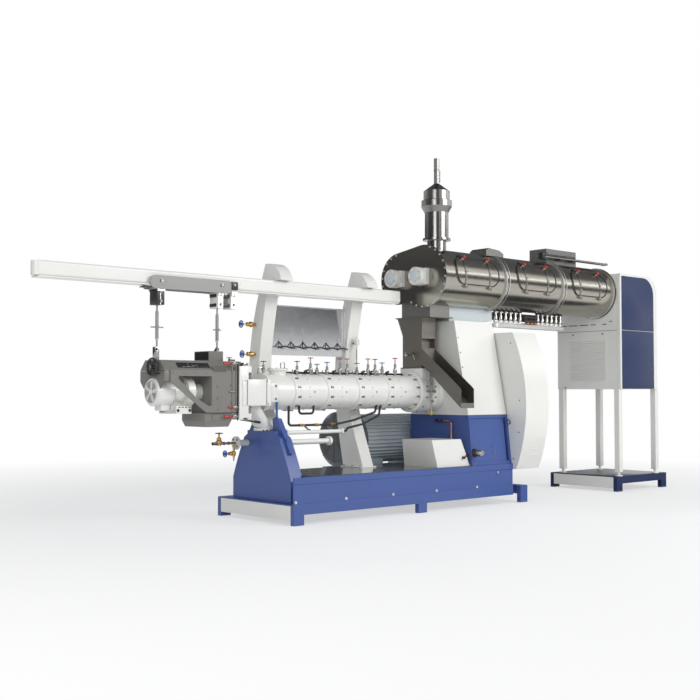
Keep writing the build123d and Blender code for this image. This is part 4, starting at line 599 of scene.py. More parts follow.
def steam_fittings():
    """The column's valves, and the flange, pipe, valve and drain at the pedestal."""
    brass, wheels, steel, white = fresh(4)
    y, z = STEAM_Y, STEAM_Z
    for x, height in COLUMN_VALVES:
        hand_wheel(wheels, at(x, COLUMN_VALVE_Y, height), LEFT, BIG_WHEEL_R, 0.007)
        foot = at(COLUMN_LEFT - 0.001, COLUMN_VALVE_Y, height)
        valve_body(brass, foot, LEFT, COLUMN_LEFT - x, 0.032)
    lathe(white, disc(DISC_R, 0, 0.022), at(DISC_X, y, z), RIGHT, 32)
    rods(white, 0.034, 20, ((DISC_X + 0.02, y, z), (PEDESTAL_SIDE, y, z)))
    bolt_arc(steel, (DISC_X, y, z), 0.052, 4, 45, 315, 0.010)
    rods(steel, 0.013, 12, ((STEAM_LEFT, y, z), (DISC_X, y, z)))
    for x in STEAM_NUTS:
        rods(steel, 0.020, 6, ((x, y, z), (x + 0.022, y, z)))
    valve_body(brass, at(STEAM_VALVE_X, y, z - 0.024), UP, 0.135, 0.036)
    hand_wheel(wheels, at(STEAM_VALVE_X, y, z + 0.112), UP, BIG_WHEEL_R, 0.006)
    rods(brass, 0.012, 10, ((DRAIN_X, y, DRAIN_Z - 0.020), (DRAIN_X, y, z)))
    drain = at(DRAIN_X, y, DRAIN_Z)
    lathe(brass, DRAIN_CONE, drain, UP, 12)
    valve_body(brass, drain, LEFT, DRAIN_X - DRAIN_LEFT, 0.024)
    hand_wheel(wheels, at(DRAIN_LEFT, y, DRAIN_Z), LEFT, 0.040, 0.007)
    regulator(white, steel)
    first = piece("steam_brass", brass, BRASS)
    piece("steam_wheels", wheels, WHEEL_BLUE)
    piece("steam_steel", steel, IRON)
    piece("steam_white", white, WHITE)
    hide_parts("steam_valves")


def regulator(white, steel):
    """The regulator on the shelf, its foot, the pipe down and the arm to the panel."""
    x, y = REGULATOR
    z = REGULATOR_Z
    lathe(white, REGULATOR_SHAPE, at(x, y, z), UP, 16)
    lathe(white, disc(0.014, 0, 0.05), at(x, y, z - 0.05), UP, 12)
    rods(steel, 0.006, 8, ((x, y, 1.680), (x, y, z - 0.045)))
    rods(steel, 0.012, 8, ((x, y, z + 0.020), (x, SHELF_BACK, z + 0.020)))


# Knife unit, hung from the trolley
KNIFE_BODY = "carriage"
CHAMBER_FACE = -0.2387
OUTLET_FACE = -0.2105
BEAD = 0.006
BEAD_PROUD = 0.004
BEAD_SINK = 0.002
SLOPE_FOOT = Vector((0, -0.230, 1.630))
SLOPE_TOP = Vector((0, -0.140, 1.730))
SLOPE_OUT = Vector((0, -0.1, 0.09)).normalized()
# Bright plates on the hood's shoulder: x from and to, shares of its height, and thickness
HOOD_LATCHES = (
    (-1.080, -0.870, 0.27, 0.36, 0.006),
    (-1.010, -0.985, 0.30, 0.66, 0.008),
    (-0.960, -0.880, 0.40, 0.52, 0.007),
    (-0.850, -0.760, 0.27, 0.33, 0.006),
)
CHAMBER_STRIPS = ((-0.480, -0.4705, 1.200), (-0.4330, -0.4240, 1.195))
STRIP_TOP = 1.690
CHAMBER_BOLTS = ((-0.657, 1.461), (-0.657, 1.339), (-0.647, 1.225), (-0.492, 1.472), (-0.492, 1.290))
SIDE_BOLT_X = (-1.200, -1.080, -0.940, -0.800)
SIDE_BOLT_Z = 1.600
TOGGLES = ((-0.595, -0.490, 1.704), (-0.530, -0.478, 1.244), (-0.582, -0.478, 1.148))
TOGGLE_Y = -0.245
SEAL_LEFT = -0.412
AIR_VALVE = (-0.430, -0.120, 1.729)


def slope_plate(mesh, x0, x1, low, high, thick):
    """A thin plate on the sloping shoulder, between two shares of the shoulder's height."""
    rings = []
    for out in (-0.001, thick):
        corners = ((x0, low), (x1, low), (x1, high), (x0, high))
        places = [at(x, 0, 0) + SLOPE_FOOT.lerp(SLOPE_TOP, up) + SLOPE_OUT * out for x, up in corners]
        rings.append([mesh.verts.new(place) for place in places])
    tube(mesh, rings)


def hood_slots():
    """Openings in the hood as dark plates of painted shade, and the latches on its shoulder."""
    dark, bright = fresh(2)
    slope_plate(dark, -1.130, -0.735, 0.22, 0.74, 0.002)
    block(dark, (-0.6505, -0.045, 1.745), (-0.6475, 0.200, 1.829), 0)
    piece("hood_slots", dark, SLOT_SHADE, KNIFE_BODY)
    for latch in HOOD_LATCHES:
        slope_plate(bright, *latch)
    piece("hood_latches", bright, BRIGHT, KNIFE_BODY)


def panel_frame(mesh, face, x0, x1, z0, z1):
    """A raised rectangular bead on a face of the chamber or the outlet."""
    near = face - BEAD_PROUD
    far = face + BEAD_SINK
    for low, high in ((z0, z0 + BEAD), (z1 - BEAD, z1)):
        block(mesh, (x0, near, low), (x1, far, high), 0.001)
    for left, right in ((x0, x0 + BEAD), (x1 - BEAD, x1)):
        block(mesh, (left, near, z0 + BEAD), (right, far, z1 - BEAD), 0.001)


def chamber_front():
    beads, panels, heads = fresh(3)
    y = CHAMBER_FACE
    panel_frame(beads, y, -0.714, -0.549, 1.611, 1.687)
    # The panel inside the bead is half-bright grey, painted shade for its recess.
    block(panels, (-0.708, y - 0.001, 1.617), (-0.555, y + BEAD_SINK, 1.681), 0)
    for x0, x1, foot in CHAMBER_STRIPS:
        block(beads, (x0, y - 0.006, foot), (x1, y + BEAD_SINK, STRIP_TOP), 0.002)
    piece("chamber_beads", beads, GREY, KNIFE_BODY)
    piece("chamber_panels", panels, SHADED_GREY, KNIFE_BODY)
    bolts(heads, 0.008, FRONT, *[(x, y, z) for x, z in CHAMBER_BOLTS])
    bolts(heads, 0.006, FRONT, *[(x, y, SIDE_BOLT_Z) for x in SIDE_BOLT_X])
    block(heads, (-0.520, y - 0.014, 1.402), (-0.436, y, 1.411), 0.002)
    piece("chamber_bolts", heads, IRON, KNIFE_BODY)


def outlet_panel():
    """The bead of the cover on the outlet's front."""
    beads = bmesh.new()
    panel_frame(beads, OUTLET_FACE, -0.711, -0.546, 1.106, 1.178)
    piece("outlet_beads", beads, GREY, KNIFE_BODY)


def toggles():
    """Red-handled clamps that hold the chamber to the die."""
    grips, steel = fresh(2)
    y = TOGGLE_Y
    for x0, x1, z in TOGGLES:
        long = x1 - x0
        shape = [(0, 0), (0.009, 0.002), (0.0115, 0.012), (0.0115, long - 0.01), (0.008, long), (0, long)]
        lathe(grips, shape, at(x0, y, z), RIGHT, 12)
        block(steel, (x1, y - 0.010, z - 0.012), (x1 + 0.060, y + 0.008, z + 0.012), 0.003)
        rods(steel, 0.012, 10, ((x1 + 0.012, y - 0.018, z), (x1 + 0.012, y, z)))
        rods(steel, 0.010, 10, ((x1 + 0.050, y - 0.016, z), (x1 + 0.050, y, z)))
        rods(steel, 0.007, 8, ((x1 + 0.055, y, z), (SEAL_LEFT - 0.004, y, z)))
    piece("toggle_grips", grips, RED, KNIFE_BODY)
    piece("toggle_clamps", steel, BRIGHT, KNIFE_BODY)


def knife_air_valve():
    steel, wheel = fresh(2)
    x, y, z = AIR_VALVE
    valve_body(steel, at(x, y, z), UP, 0.045, 0.016)
    rods(steel, 0.009, 8, ((x, y, z + 0.014), (x + 0.07, y, z + 0.014)))
    hand_wheel(wheel, at(x, y, z + 0.040), UP, 0.030, 0.004)
    piece("air_valve_body", steel, IRON, KNIFE_BODY)
    piece("air_valve_wheel", wheel, WHEEL_BLUE, KNIFE_BODY)


# Knife motor: the fan under its grille, the foot and the rings
MOTOR_FACE = -1.316
FAN_R = 0.112
FAN_HUB = [(0, 0.001), (0.030, 0.001), (0.026, 0.006), (0, 0.007)]
FAN_BLADES = 5
BLADE = ((0.022, -0.010), (0.106, -0.022), (0.106, 0.020), (0.022, 0.014))
GRILLE_R = (0.040, 0.062, 0.084, 0.106)
GRILLE_WIRE = 0.0016
CLIP_X = (-1.090, -1.050, -1.010, -0.970)


def knife_motor_trim():
    """The fan, its grille, and the bolts, clips and ring of the motor's foot."""
    dark, blades, grille, foot = fresh(4)
    centre = at(MOTOR_FACE, 0, AXIS_Z)
    lathe(dark, disc(FAN_R, 0, 0.0015), centre, LEFT, 36)
    lathe(blades, FAN_HUB, centre, LEFT, 20)
    for index in range(FAN_BLADES):
        turn = Matrix.Rotation(2 * math.pi * index / FAN_BLADES + 0.5, 4, "X")
        corners = [[Vector((x, y, z)) for y, z in BLADE] for x in (-0.0035, -0.0005)]
        tube(blades, [[blades.verts.new(centre + turn @ point) for point in side] for side in corners])
    for radius in GRILLE_R:
        ring(grille, at(MOTOR_FACE - 0.007, 0, AXIS_Z), RIGHT, radius, GRILLE_WIRE, 36, 5)
    spokes(grille, at(MOTOR_FACE - 0.0065, 0, AXIS_Z), 0.02, FAN_R, GRILLE_WIRE, 5)
    ring(grille, at(MOTOR_FACE - 0.001, 0, AXIS_Z), RIGHT, 0.117, 0.005, 40, 6)
    piece("fan_recess", dark, GREY_LIGHT, KNIFE_BODY, "dark_paint")
    piece("fan_blades", blades, WHITE, KNIFE_BODY)
    piece("fan_grille", grille, WHITE, KNIFE_BODY)
    bolts(foot, 0.013, FRONT, (-1.095, -0.165, 1.215), (-0.955, -0.165, 1.215))
    blocks(foot, 0.001, *[((x, -0.1685, 1.244), (x + 0.024, -0.164, 1.252)) for x in CLIP_X])
    ring(foot, at(-1.118, 0, AXIS_Z), RIGHT, 0.1455, 0.0022, 48, 6)
    piece("motor_foot_bolts", foot, DARK, KNIFE_BODY)


# Trolley, hangers and tie rods
LEFT_ROD_X = -1.250
RIGHT_ROD_X = -0.505
ROLLERS = ((-1.252, 2.537), (-0.509, 2.543))
ROLLER_SIDE = 0.0941
LEFT_BOLTS = ((-1.247, -0.069, 2.434), (-1.247, -0.069, 2.332))
RIGHT_BOLTS = (
    (-0.512, -0.077, 2.442), (-0.512, -0.077, 2.336),
    (-0.338, -0.077, 2.441), (-0.338, -0.077, 2.340),
)
LEFT_BARS = (
    ((-1.296, -0.069, 2.294), (-1.2535, 0.069, 2.4555)),
    ((-1.2465, -0.069, 2.294), (-1.204, 0.069, 2.4555)),
)
RIGHT_BAR_Z = (2.312, 2.413)
FACE_X = (-0.5460, -0.3765)
FACE_SIDE = 0.0755
SCREW_R = 0.0094
SLEEVE_R = 0.0178
SCREW_TOP = 2.295
CROSS_Z = 2.067
# Turnbuckles: rod, foot of its screw, and half the length of its cross rod
TURNBUCKLES = ((LEFT_ROD_X, 1.868, 0.073), (RIGHT_ROD_X, 1.852, 0.050))


def trolley_trim():
    """Roller and hanger bolts, the hangers' bars, and the turnbuckles down to the knife unit."""
    steel, black, white, sleeves, clevis, hooks = fresh(6)
    for x, z in ROLLERS:
        for side in (-1, 1):
            bolt(steel, at(x, side * ROLLER_SIDE, z), (0, side, 0), 0.018)
    bolts(steel, 0.015, FRONT, *LEFT_BOLTS)
    bolts(steel, 0.013, FRONT, *RIGHT_BOLTS)
    blocks(black, 0.004, *LEFT_BARS)
    for z in RIGHT_BAR_Z:
        block(black, (-0.553, -0.046, z), (-0.5455, FACE_SIDE, z + 0.036), 0.002)
        block(black, (-0.4795, -0.050, z), (-0.3770, FACE_SIDE, z + 0.035), 0.003)
    for x in FACE_X:
        block(white, (x, -FACE_SIDE, 2.297), (x + 0.0020, FACE_SIDE, 2.466), 0.0005)
    block(black, (-0.388, -0.100, 2.498), (-0.300, -0.040, 2.585), 0.008)
    block(black, (-1.430, -0.050, 2.466), (-1.384, 0.050, 2.478), 0.002)
    rods(steel, 0.011, 12, ((-0.345, -0.106, 2.55), (-0.345, -0.08, 2.55)))
    piece("trolley_bolts", steel, BRIGHT, KNIFE_BODY)
    piece("hanger_blocks", black, DARK, KNIFE_BODY)
    piece("hanger_faces", white, WHITE, KNIFE_BODY)
    for x, low, half in TURNBUCKLES:
        shape = [(SCREW_R, low), (SCREW_R, 1.934), (SLEEVE_R, 1.950), (SLEEVE_R, 2.226)]
        shape += [(SCREW_R, 2.240), (SCREW_R, SCREW_TOP)]
        lathe(sleeves, shape, at(x, 0, 0), UP, 16)
        rods(sleeves, 0.0068, 8, ((x - half, 0, CROSS_Z), (x + half, 0, CROSS_Z)))
    piece("turnbuckles", sleeves, GREY_LIGHT, KNIFE_BODY)
    block(clevis, (-1.2865, -0.0235, 1.732), (-1.2335, 0.0235, 1.8665), 0.003)
    piece("clevis", clevis, BRIGHT, KNIFE_BODY)
    bolts(hooks, 0.011, FRONT, (-1.262, -0.0235, 1.842))
    ring(hooks, at(RIGHT_ROD_X, 0, 1.858), BACK, 0.020, 0.006, 20, 6)
    rods(hooks, 0.010, 8, ((-0.540, 0, 1.842), (RIGHT_ROD_X, 0, 1.858)))
    piece("hook_eyes", hooks, DARK, KNIFE_BODY)


# Hood: its octagonal end plate and the bracket of the setting wheel
HOOD_HALF = 0.229
HOOD_SIDE = (0.2265, 0.2298)
HOOD_FOOT_HALF = 0.160
HOOD_Z = (1.436, 1.509, 1.618)
HOOD_END_X = -1.3025
CUT_R = 0.151
CUT_ARC = (166, 14)
FACING_X = Matrix(((0, 0, 1, 0), (1, 0, 0, 0), (0, 1, 0, 0), (0, 0, 0, 1)))
BRACKET_X = -1.302


def hood_end():
    """The end plate of the hood, cut out round the motor, and the strips beside it."""
    mesh = bmesh.new()
    foot, shoulder, top = HOOD_Z
    outline = [(HOOD_HALF, top), (-HOOD_HALF, top), (-HOOD_HALF, shoulder), (-HOOD_FOOT_HALF, foot)]
    outline += [*arc(0, AXIS_Z, CUT_R, *CUT_ARC), (HOOD_FOOT_HALF, foot), (HOOD_HALF, shoulder)]
    slab(mesh, outline, 0.004, at(HOOD_END_X, 0, 0), FACING_X)
    for side in (-1, 1):
        low, high = sorted(side * edge for edge in HOOD_SIDE)
        block(mesh, (-1.2985, low, 1.512), (-1.2365, high, 1.620), 0.0005)
    piece("hood_end", mesh, GREY, KNIFE_BODY)


def wheel_bracket():
    """The black scale and lock nut between the setting wheel and the hood."""
    mesh = bmesh.new()
    x = BRACKET_X
    block(mesh, (x - 0.002, -0.150, 1.585), (x + 0.002, 0.110, 1.598), 0)
    rods(mesh, 0.026, 6, ((x - 0.030, -0.073, 1.656), (x, -0.073, 1.656)))
    piece("wheel_bracket", mesh, DARK, KNIFE_BODY)


# Die end: the casing whose cheeks lap the chamber, clamp bolts and the hinge rods
CHEEK_LEFT = -0.396
CHEEK_LOW = 1.112
CHEEK_HIGH = 1.679
CHEEK_Y = (0.2447, 0.262)
CASING_LEFT = -0.236
CASING_RIGHT = 0.022
CASING_LOW = 1.255
CASING_HIGH = 1.543
PAD_SPANS = ((-0.358, -0.306), (-0.293, -0.046), (-0.034, 0.020))
PAD_DEPTH = 0.008
PAD_INSET = 0.004
SEAM_INSET = 0.010
COLLAR_RIGHT = 0.150
COLLAR_HALF = 0.225
COLLAR_Z = (1.296, 1.503)
COLLAR_BOLT_Z = (1.329, 1.470)
PAD_BOLTS = ((-0.020, 1.276), (-0.030, 1.524), (-0.330, 1.524))
SEAL_Z = (1.105, 1.700)
CLAMP_X = -0.330
CLAMP_Z = (1.700, 1.118)
ELBOW_BOLT_X = (0.030, 0.080, 0.130, 0.180)


def die_casing():
    """The block between the die plate and the barrel, with its ribbed cheeks."""
    mesh, steel, lines, seal = fresh(4)
    near, far = CHEEK_Y
    block(mesh, (CASING_LEFT, -far, CASING_LOW), (CASING_RIGHT, far, CASING_HIGH), 0.006)
    block(mesh, (CASING_RIGHT, -COLLAR_HALF, COLLAR_Z[0]), (COLLAR_RIGHT, COLLAR_HALF, COLLAR_Z[1]), 0.005)
    for side in (-1, 1):
        low, high = sorted((side * near, side * far))
        block(mesh, (CHEEK_LEFT, low, CHEEK_LOW), (CASING_LEFT, high, CHEEK_HIGH), 0.003)
        pad = far + PAD_DEPTH
        low, high = sorted((side * far, side * pad))
        for x0, x1 in PAD_SPANS:
            block(mesh, (x0, low, CASING_LOW + PAD_INSET), (x1, high, CASING_HIGH - PAD_INSET), 0.003)
        low, high = sorted((side * (far - 0.001), side * (far + 0.0015)))
        for (_, x0), (x1, _) in zip(PAD_SPANS, PAD_SPANS[1:]):
            block(lines, (x0, low, CASING_LOW + SEAM_INSET), (x1, high, CASING_HIGH - SEAM_INSET), 0)
        out = (0, side, 0)
        bolts(steel, 0.011, out, *[(0.119, side * COLLAR_HALF, z) for z in COLLAR_BOLT_Z])
        bolts(steel, 0.006, out, *[(x, side * pad, z) for x, z in PAD_BOLTS])
    first = piece("die_casing", mesh, WHITE)
    piece("die_casing_bolts", steel, IRON)
    piece("die_casing_seams", lines, GREY_LIGHT)
    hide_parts("die_block")
    front = CHAMBER_FACE - BEAD_PROUD
    back = CHAMBER_FACE + BEAD_SINK
    block(seal, (SEAL_LEFT, front, SEAL_Z[0]), (SEAL_LEFT + 0.013, back, SEAL_Z[1]), 0.001)
    piece("chamber_seal", seal, RUBBER, KNIFE_BODY)


def die_trim():
    """Clamps on the casing's edges, and the hinge rods and bolts of the discharge elbow."""
    steel, dark = fresh(2)
    x = CLAMP_X
    for z in CLAMP_Z:
        block(steel, (x - 0.020, -0.262, z - 0.016), (x + 0.050, -0.205, z + 0.016), 0.004)
        rods(steel, 0.011, 10, ((x + 0.030, -0.275, z), (x + 0.030, -0.19, z)))
    elbow = (-0.110, -0.150, 1.085)
    rods(dark, 0.009, 8, ((-0.340, -0.205, 1.110), elbow))
    rods(dark, 0.014, 8, (elbow, (-0.020, -0.120, 1.075)))
    bolts(dark, 0.012, UP, *[(x, -0.118, 0.9805) for x in ELBOW_BOLT_X])
    piece("die_clamps", steel, BRIGHT)
    piece("die_hinge_rods", dark, DARK)


# Conditioner: end plate, bands and doors
END_X = 2.390
PLATE_RIM = 0.022
BEARING_PROUD = 0.150
BEARING_COVER = [(0, 0), (0.072, 0), (0.070, 0.010), (0.052, 0.022), (0, 0.026)]
RING_PLACES = (3.578, 4.766)
BAND_SIDES = (-0.034, 0.022)
LAST_BAND_X = 5.905
BAND_WIDE = 0.012
BAND_ARC = (88, 282)
DOOR_MID = 167.0
DOOR_HALF_CHORD = 0.183
DOOR_CORNER = 0.150
DOOR_R = BIG_R + 0.008
SEAL_INSET = 0.010
SEAL_R = 0.0075
SEAL_BREAK = 0.3
SEAL_LEVEL = 0.004
STRAP_HALF = 0.011
STRAP_ARC = (137, 197)
STRAP_BOLTS = (194, 184, 171)
KNOB_ANGLE = 142
STOP_ANGLE = 133
KNOB = [(0, 0.012), (0.014, 0.014), (0.021, 0.024), (0.023, 0.037), (0.015, 0.048), (0, 0.050)]


def end_plate_bolts():
    mesh = bmesh.new()
    bolt_arc(mesh, (END_X, BIG_Y, COND_Z), BIG_R + PLATE_RIM, 14, 108, 304, 0.011)
    bolt_arc(mesh, (END_X, SMALL_Y, COND_Z), SMALL_R + PLATE_RIM, 9, -70, 80, 0.011)
    for y in (BIG_Y, SMALL_Y):
        bolt_arc(mesh, (END_X - BEARING_PROUD, y, COND_Z), 0.088, 6, 30, 330, 0.009)
    piece("end_plate_bolts", mesh, ZINC)


def bearing_covers():
    mesh = bmesh.new()
    for y in (BIG_Y, SMALL_Y):
        lathe(mesh, BEARING_COVER, at(END_X - BEARING_PROUD + 0.0005, y, COND_Z), LEFT, 32)
    piece("bearing_covers", mesh, SHADED_WHITE)


def drum_rings():
    """Clamp bands beside the joints between the drum sections, and one near the right end."""
    mesh = bmesh.new()
    bands = [(x + side, 0.022) for x in RING_PLACES for side in BAND_SIDES]
    for x, high in (*bands, (LAST_BAND_X, 0.015)):
        arc_bar(mesh, x, x + BAND_WIDE, BIG_R - 0.002, BIG_R + high, *BAND_ARC, 40)
    piece("drum_bands", mesh, ZINC)


def door_edge():
    """The rounded edge of a door's seal as (length, angle) pairs, seen square on."""
    half_x = DOOR_HALF - SEAL_INSET
    half_v = DOOR_HALF_CHORD - SEAL_INSET
    corner = DOOR_CORNER - SEAL_INSET
    pairs = []
    for quarter in range(4):
        mid_x = (half_x - corner) * (1 if quarter in (0, 3) else -1)
        mid_v = (half_v - corner) * (1 if quarter in (0, 1) else -1)
        for x, v in arc(mid_x, mid_v, corner, 90 * quarter, 90 * quarter + 90, 8):
            pairs.append((x, DOOR_MID - math.degrees(math.asin(v / DOOR_R))))
    return pairs


def door_point(x, angle, proud):
    """A place over the big drum's face, at an angle in degrees, and the way out there."""
    turn = math.radians(angle)
    out = Vector((0, math.cos(turn), math.sin(turn)))
    return at(x, BIG_Y, COND_Z) + out * (BIG_R + proud), out


def door_seal(middle):
    """Short rods round the corners, and one rod along each level edge."""
    mesh = bmesh.new()
    points = [door_point(middle + x, angle, 0.011)[0] for x, angle in door_edge()]
    for start, end in zip(points, points[1:] + points[:1]):
        if (end - start).length < SEAL_BREAK:
            rod(mesh, start, end, SEAL_R, 8)
    for height in (min(point.z for point in points), max(point.z for point in points)):
        level = sorted((point for point in points if abs(point.z - height) < SEAL_LEVEL), key=lambda p: p.x)
        rod(mesh, level[0], level[-1], SEAL_R, 8)
    return mesh


def door_trim(index):
    """The seal, straps, knobs and bolts of a door, and the dark stop above it."""
    number = index + 1
    body = "door_%d" % number
    middle = DOOR_FIRST + index * DOOR_PITCH
    piece("door_seal_%d" % number, door_seal(middle), RUBBER, body)
    knobs, straps, black = fresh(3)
    for x in (middle - STRAP_OFFSET, middle + STRAP_OFFSET):
        arc_bar(straps, x - STRAP_HALF, x + STRAP_HALF, BIG_R + 0.010, BIG_R + 0.0205, *STRAP_ARC, 24)
        start, out = door_point(x, KNOB_ANGLE, 0.018)
        lathe(knobs, KNOB, start, out, 16)
        bolt(straps, start, out, 0.020)
        for angle in STRAP_BOLTS:
            bolt(straps, *door_point(x, angle, 0.019), 0.009)
    stop, _ = door_point(middle - STRAP_OFFSET, STOP_ANGLE, 0.010)
    rod(black, stop - Vector((0.045, 0, 0)), stop + Vector((0.010, 0, 0)), 0.012, 10)
    piece("door_knobs_%d" % number, knobs, RED, body)
    piece("door_straps_%d" % number, straps, BRIGHT, body)
    piece("door_stop_%d" % number, black, DARK)


# Vent stack, steam nozzles and the slide gate of the powder inlet
STACK_X = 2.632
STACK_BOLTS = 12
STACK_BOLT_R = 0.132
STACK_FLANGE_Z = 3.3175
STACK_BEAD_Z = 4.18
CHAIN_LINKS = 9
CHAIN_LOW = 4.035
CHAIN_PITCH = 0.017
NOZZLE_FIRST = (3.740, 4.620)
NOZZLE_PITCH = 0.100
NOZZLES = 6
SLEEVE_LOW = 2.350
SEAL_LOW = 2.466
HEADER_R = 0.052
HEADER_Z = 2.410
HEADER_END = 0.045
SLEEVE = [
    (0.0245, 0), (0.030, 0.004), (0.030, 0.060),
    (0.026, 0.066), (0.026, 0.110), (0.0245, 0.114),
]
NOZZLE_SEAL = [(0.0242, 0), (0.034, 0.002), (0.034, 0.018), (0.0242, 0.020)]
MANIFOLD_X = (4.300, 4.590)
MANIFOLD_Z = (2.362, 2.412)
RISER_X = (4.345, 4.445, 4.545)
RISER_Z = (2.335, 2.450)
COCK_X = (4.33, 4.41, 4.49)
COCK_Z = 2.330


def stack_trim():
    """Flange bolts, the top bead and the small chain on the vent stack."""
    mesh = bmesh.new()
    for c, s in circle(STACK_BOLTS):
        bolts(mesh, 0.007, UP, (STACK_X + STACK_BOLT_R * c, BIG_Y + STACK_BOLT_R * s, STACK_FLANGE_Z))
    for index in range(CHAIN_LINKS):
        place = at(STACK_X + 0.048, BIG_Y - 0.012, CHAIN_LOW + CHAIN_PITCH * index)
        ring(mesh, place, RIGHT if index % 2 else BACK, 0.008, 0.0022, 12, 5)
    ring(mesh, at(STACK_X, BIG_Y, STACK_BEAD_Z), UP, 0.036, 0.004, 28, 6)
    piece("stack_trim", mesh, BRIGHT)


def nozzles():
    """Sleeves, seals and cocks on the steam nozzles, the small manifold between them, and the header."""
    bright, dark, brass, header = fresh(4)
    for first in NOZZLE_FIRST:
        for index in range(NOZZLES):
            x = first + index * NOZZLE_PITCH
            lathe(bright, SLEEVE, at(x, BIG_Y, SLEEVE_LOW), UP, 16, closed=True)
            lathe(dark, NOZZLE_SEAL, at(x, BIG_Y, SEAL_LOW), UP, 16, closed=True)
    start = NOZZLE_FIRST[0] - HEADER_END
    end = NOZZLE_FIRST[1] + (NOZZLES - 1) * NOZZLE_PITCH + HEADER_END
    back = BIG_Y + 0.085
    rods(header, HEADER_R, 24, ((start, back, HEADER_Z), (end, back, HEADER_Z)))
    y = BIG_Y - 0.020
    left, right = MANIFOLD_X
    rods(dark, 0.017, 10, *[((left, y, z), (right, y, z)) for z in MANIFOLD_Z])
    low, high = RISER_Z
    rods(dark, 0.014, 10, *[((x, y, low), (x, y, high)) for x in RISER_X])
    y = BIG_Y - 0.045
    rods(brass, 0.016, 10, *[((x, y, COCK_Z), (x + 0.05, y, COCK_Z)) for x in COCK_X])
    piece("nozzle_sleeves", bright, BRIGHT)
    piece("nozzle_seals", dark, DARK)
    piece("nozzle_header", header, SHADED_GREY)
    piece("nozzle_cocks", brass, COPPER)


GATE_Y = -0.402
GATE_Z = 3.250
GATE_NUTS = (4.95, 5.25)


def gate_trim():
    """The bright runner and the dark head of the slide gate."""
    bright, dark = fresh(2)
    rods(bright, 0.013, 12, ((4.60, GATE_Y, GATE_Z), (6.052, GATE_Y, GATE_Z)))
    rods(bright, 0.018, 12, ((6.035, -0.405, GATE_Z), (6.035, -0.325, GATE_Z)))
    block(dark, (4.560, -0.405, 3.216), (4.680, -0.326, 3.304), 0.004)
    block(dark, (4.690, -0.398, 3.258), (5.300, -0.340, 3.290), 0.003)
    rods(dark, 0.016, 10, *[((x, -0.41, 3.235), (x, -0.335, 3.235)) for x in GATE_NUTS])
    piece("gate_runner", bright, BRIGHT)
    piece("gate_head", dark, DARK)


# Drive housing: front sheets in blue darkened as painted shade, inside a white trim, and a louvred field on
# its left side
HOUSING_FRONT = -0.682
HOUSING_BACK = 0.420
HOUSING_LEFT = 5.958
HOUSING_LOW = 1.448
SPLIT_Z = 2.288
SPLIT_HALF = 0.003
SHEET_LEFT = 5.988
SHEET_RIGHT = 6.798
SHEET_LOW = HOUSING_LOW + 0.004
SHEET_TOP = 3.064
SHEET_R = 0.254
SHEET_THICK = 0.004
TRIM_TOP = 3.05
UPRIGHT = Matrix.Rotation(math.radians(90), 4, "X")
LOUVRE_FIELD = (-0.425, 0.185)
LOUVRE = [(0, 0), (-0.006, 0.003), (-0.006, 0.006), (0, 0.019)]
LOUVRE_FIRST = 1.566
LOUVRE_PITCH = 0.0265
LOUVRES = 22
SLOT_Z = (2.375, 2.386)
SLOT_SPANS = ((0.253, 0.324), (0.061, 0.218), (-0.127, 0.020), (-0.262, -0.178), (-0.445, -0.379))
LATCH_SLOT = ((-0.544, 2.412), (-0.495, 2.423))
HOUSING_BOLTS = ((0.139, 2.245), (-0.377, 2.244), (0.280, 1.470))


def front_sheets():
    """The lower and the upper front sheet in painted-shade blue, the upper one with a rounded corner."""
    mesh = bmesh.new()
    origin = SHIFT + Vector((0, HOUSING_FRONT, 0))
    low, high = SPLIT_Z - SPLIT_HALF, SPLIT_Z + SPLIT_HALF
    lower = [(SHEET_LEFT, SHEET_LOW), (SHEET_RIGHT, SHEET_LOW), (SHEET_RIGHT, low), (SHEET_LEFT, low)]
    curve = arc(SHEET_RIGHT - SHEET_R, SHEET_TOP - SHEET_R, SHEET_R, 0, 90)
    upper = [(SHEET_LEFT, high), (SHEET_RIGHT, high), *curve, (SHEET_LEFT, SHEET_TOP)]
    for outline in (lower, upper):
        slab(mesh, outline, SHEET_THICK, origin, UPRIGHT, edge=0.001)
    piece("housing_front_sheets", mesh, SHADED_BLUE)


def side_slot(mesh, proud, y0, y1, z0, z1):
    """A slot as painted shade: a thin dark block on the housing's left side."""
    block(mesh, (HOUSING_LEFT - proud, y0, z0), (HOUSING_LEFT + 0.001, y1, z1), 0)


def housing_side():
    """Louvres on the housing's left side, its slots, split line and bolts in the painted-shade dark, and
    its white front edge.
    """
    mesh, dark = fresh(2)
    near, far = LOUVRE_FIELD
    for index in range(LOUVRES):
        slab(mesh, LOUVRE, far - near, at(HOUSING_LEFT, far, LOUVRE_FIRST + index * LOUVRE_PITCH), UPRIGHT)
    for y0, y1 in SLOT_SPANS:
        side_slot(dark, 0.0015, y0, y1, *SLOT_Z)
    (y0, z0), (y1, z1) = LATCH_SLOT
    side_slot(dark, 0.0015, y0, y1, z0, z1)
    side_slot(dark, 0.001, HOUSING_FRONT, HOUSING_BACK, SPLIT_Z - 0.0025, SPLIT_Z + 0.0025)
    bolts(dark, 0.009, LEFT, *[(HOUSING_LEFT, y, z) for y, z in HOUSING_BOLTS])
    corner = (HOUSING_LEFT, HOUSING_FRONT + 0.050, TRIM_TOP)
    block(mesh, (HOUSING_LEFT - 0.003, HOUSING_FRONT, HOUSING_LOW), corner, 0.001)
    piece("housing_louvres", mesh, WHITE)
    piece("housing_slots", dark, SLOT_SHADE)


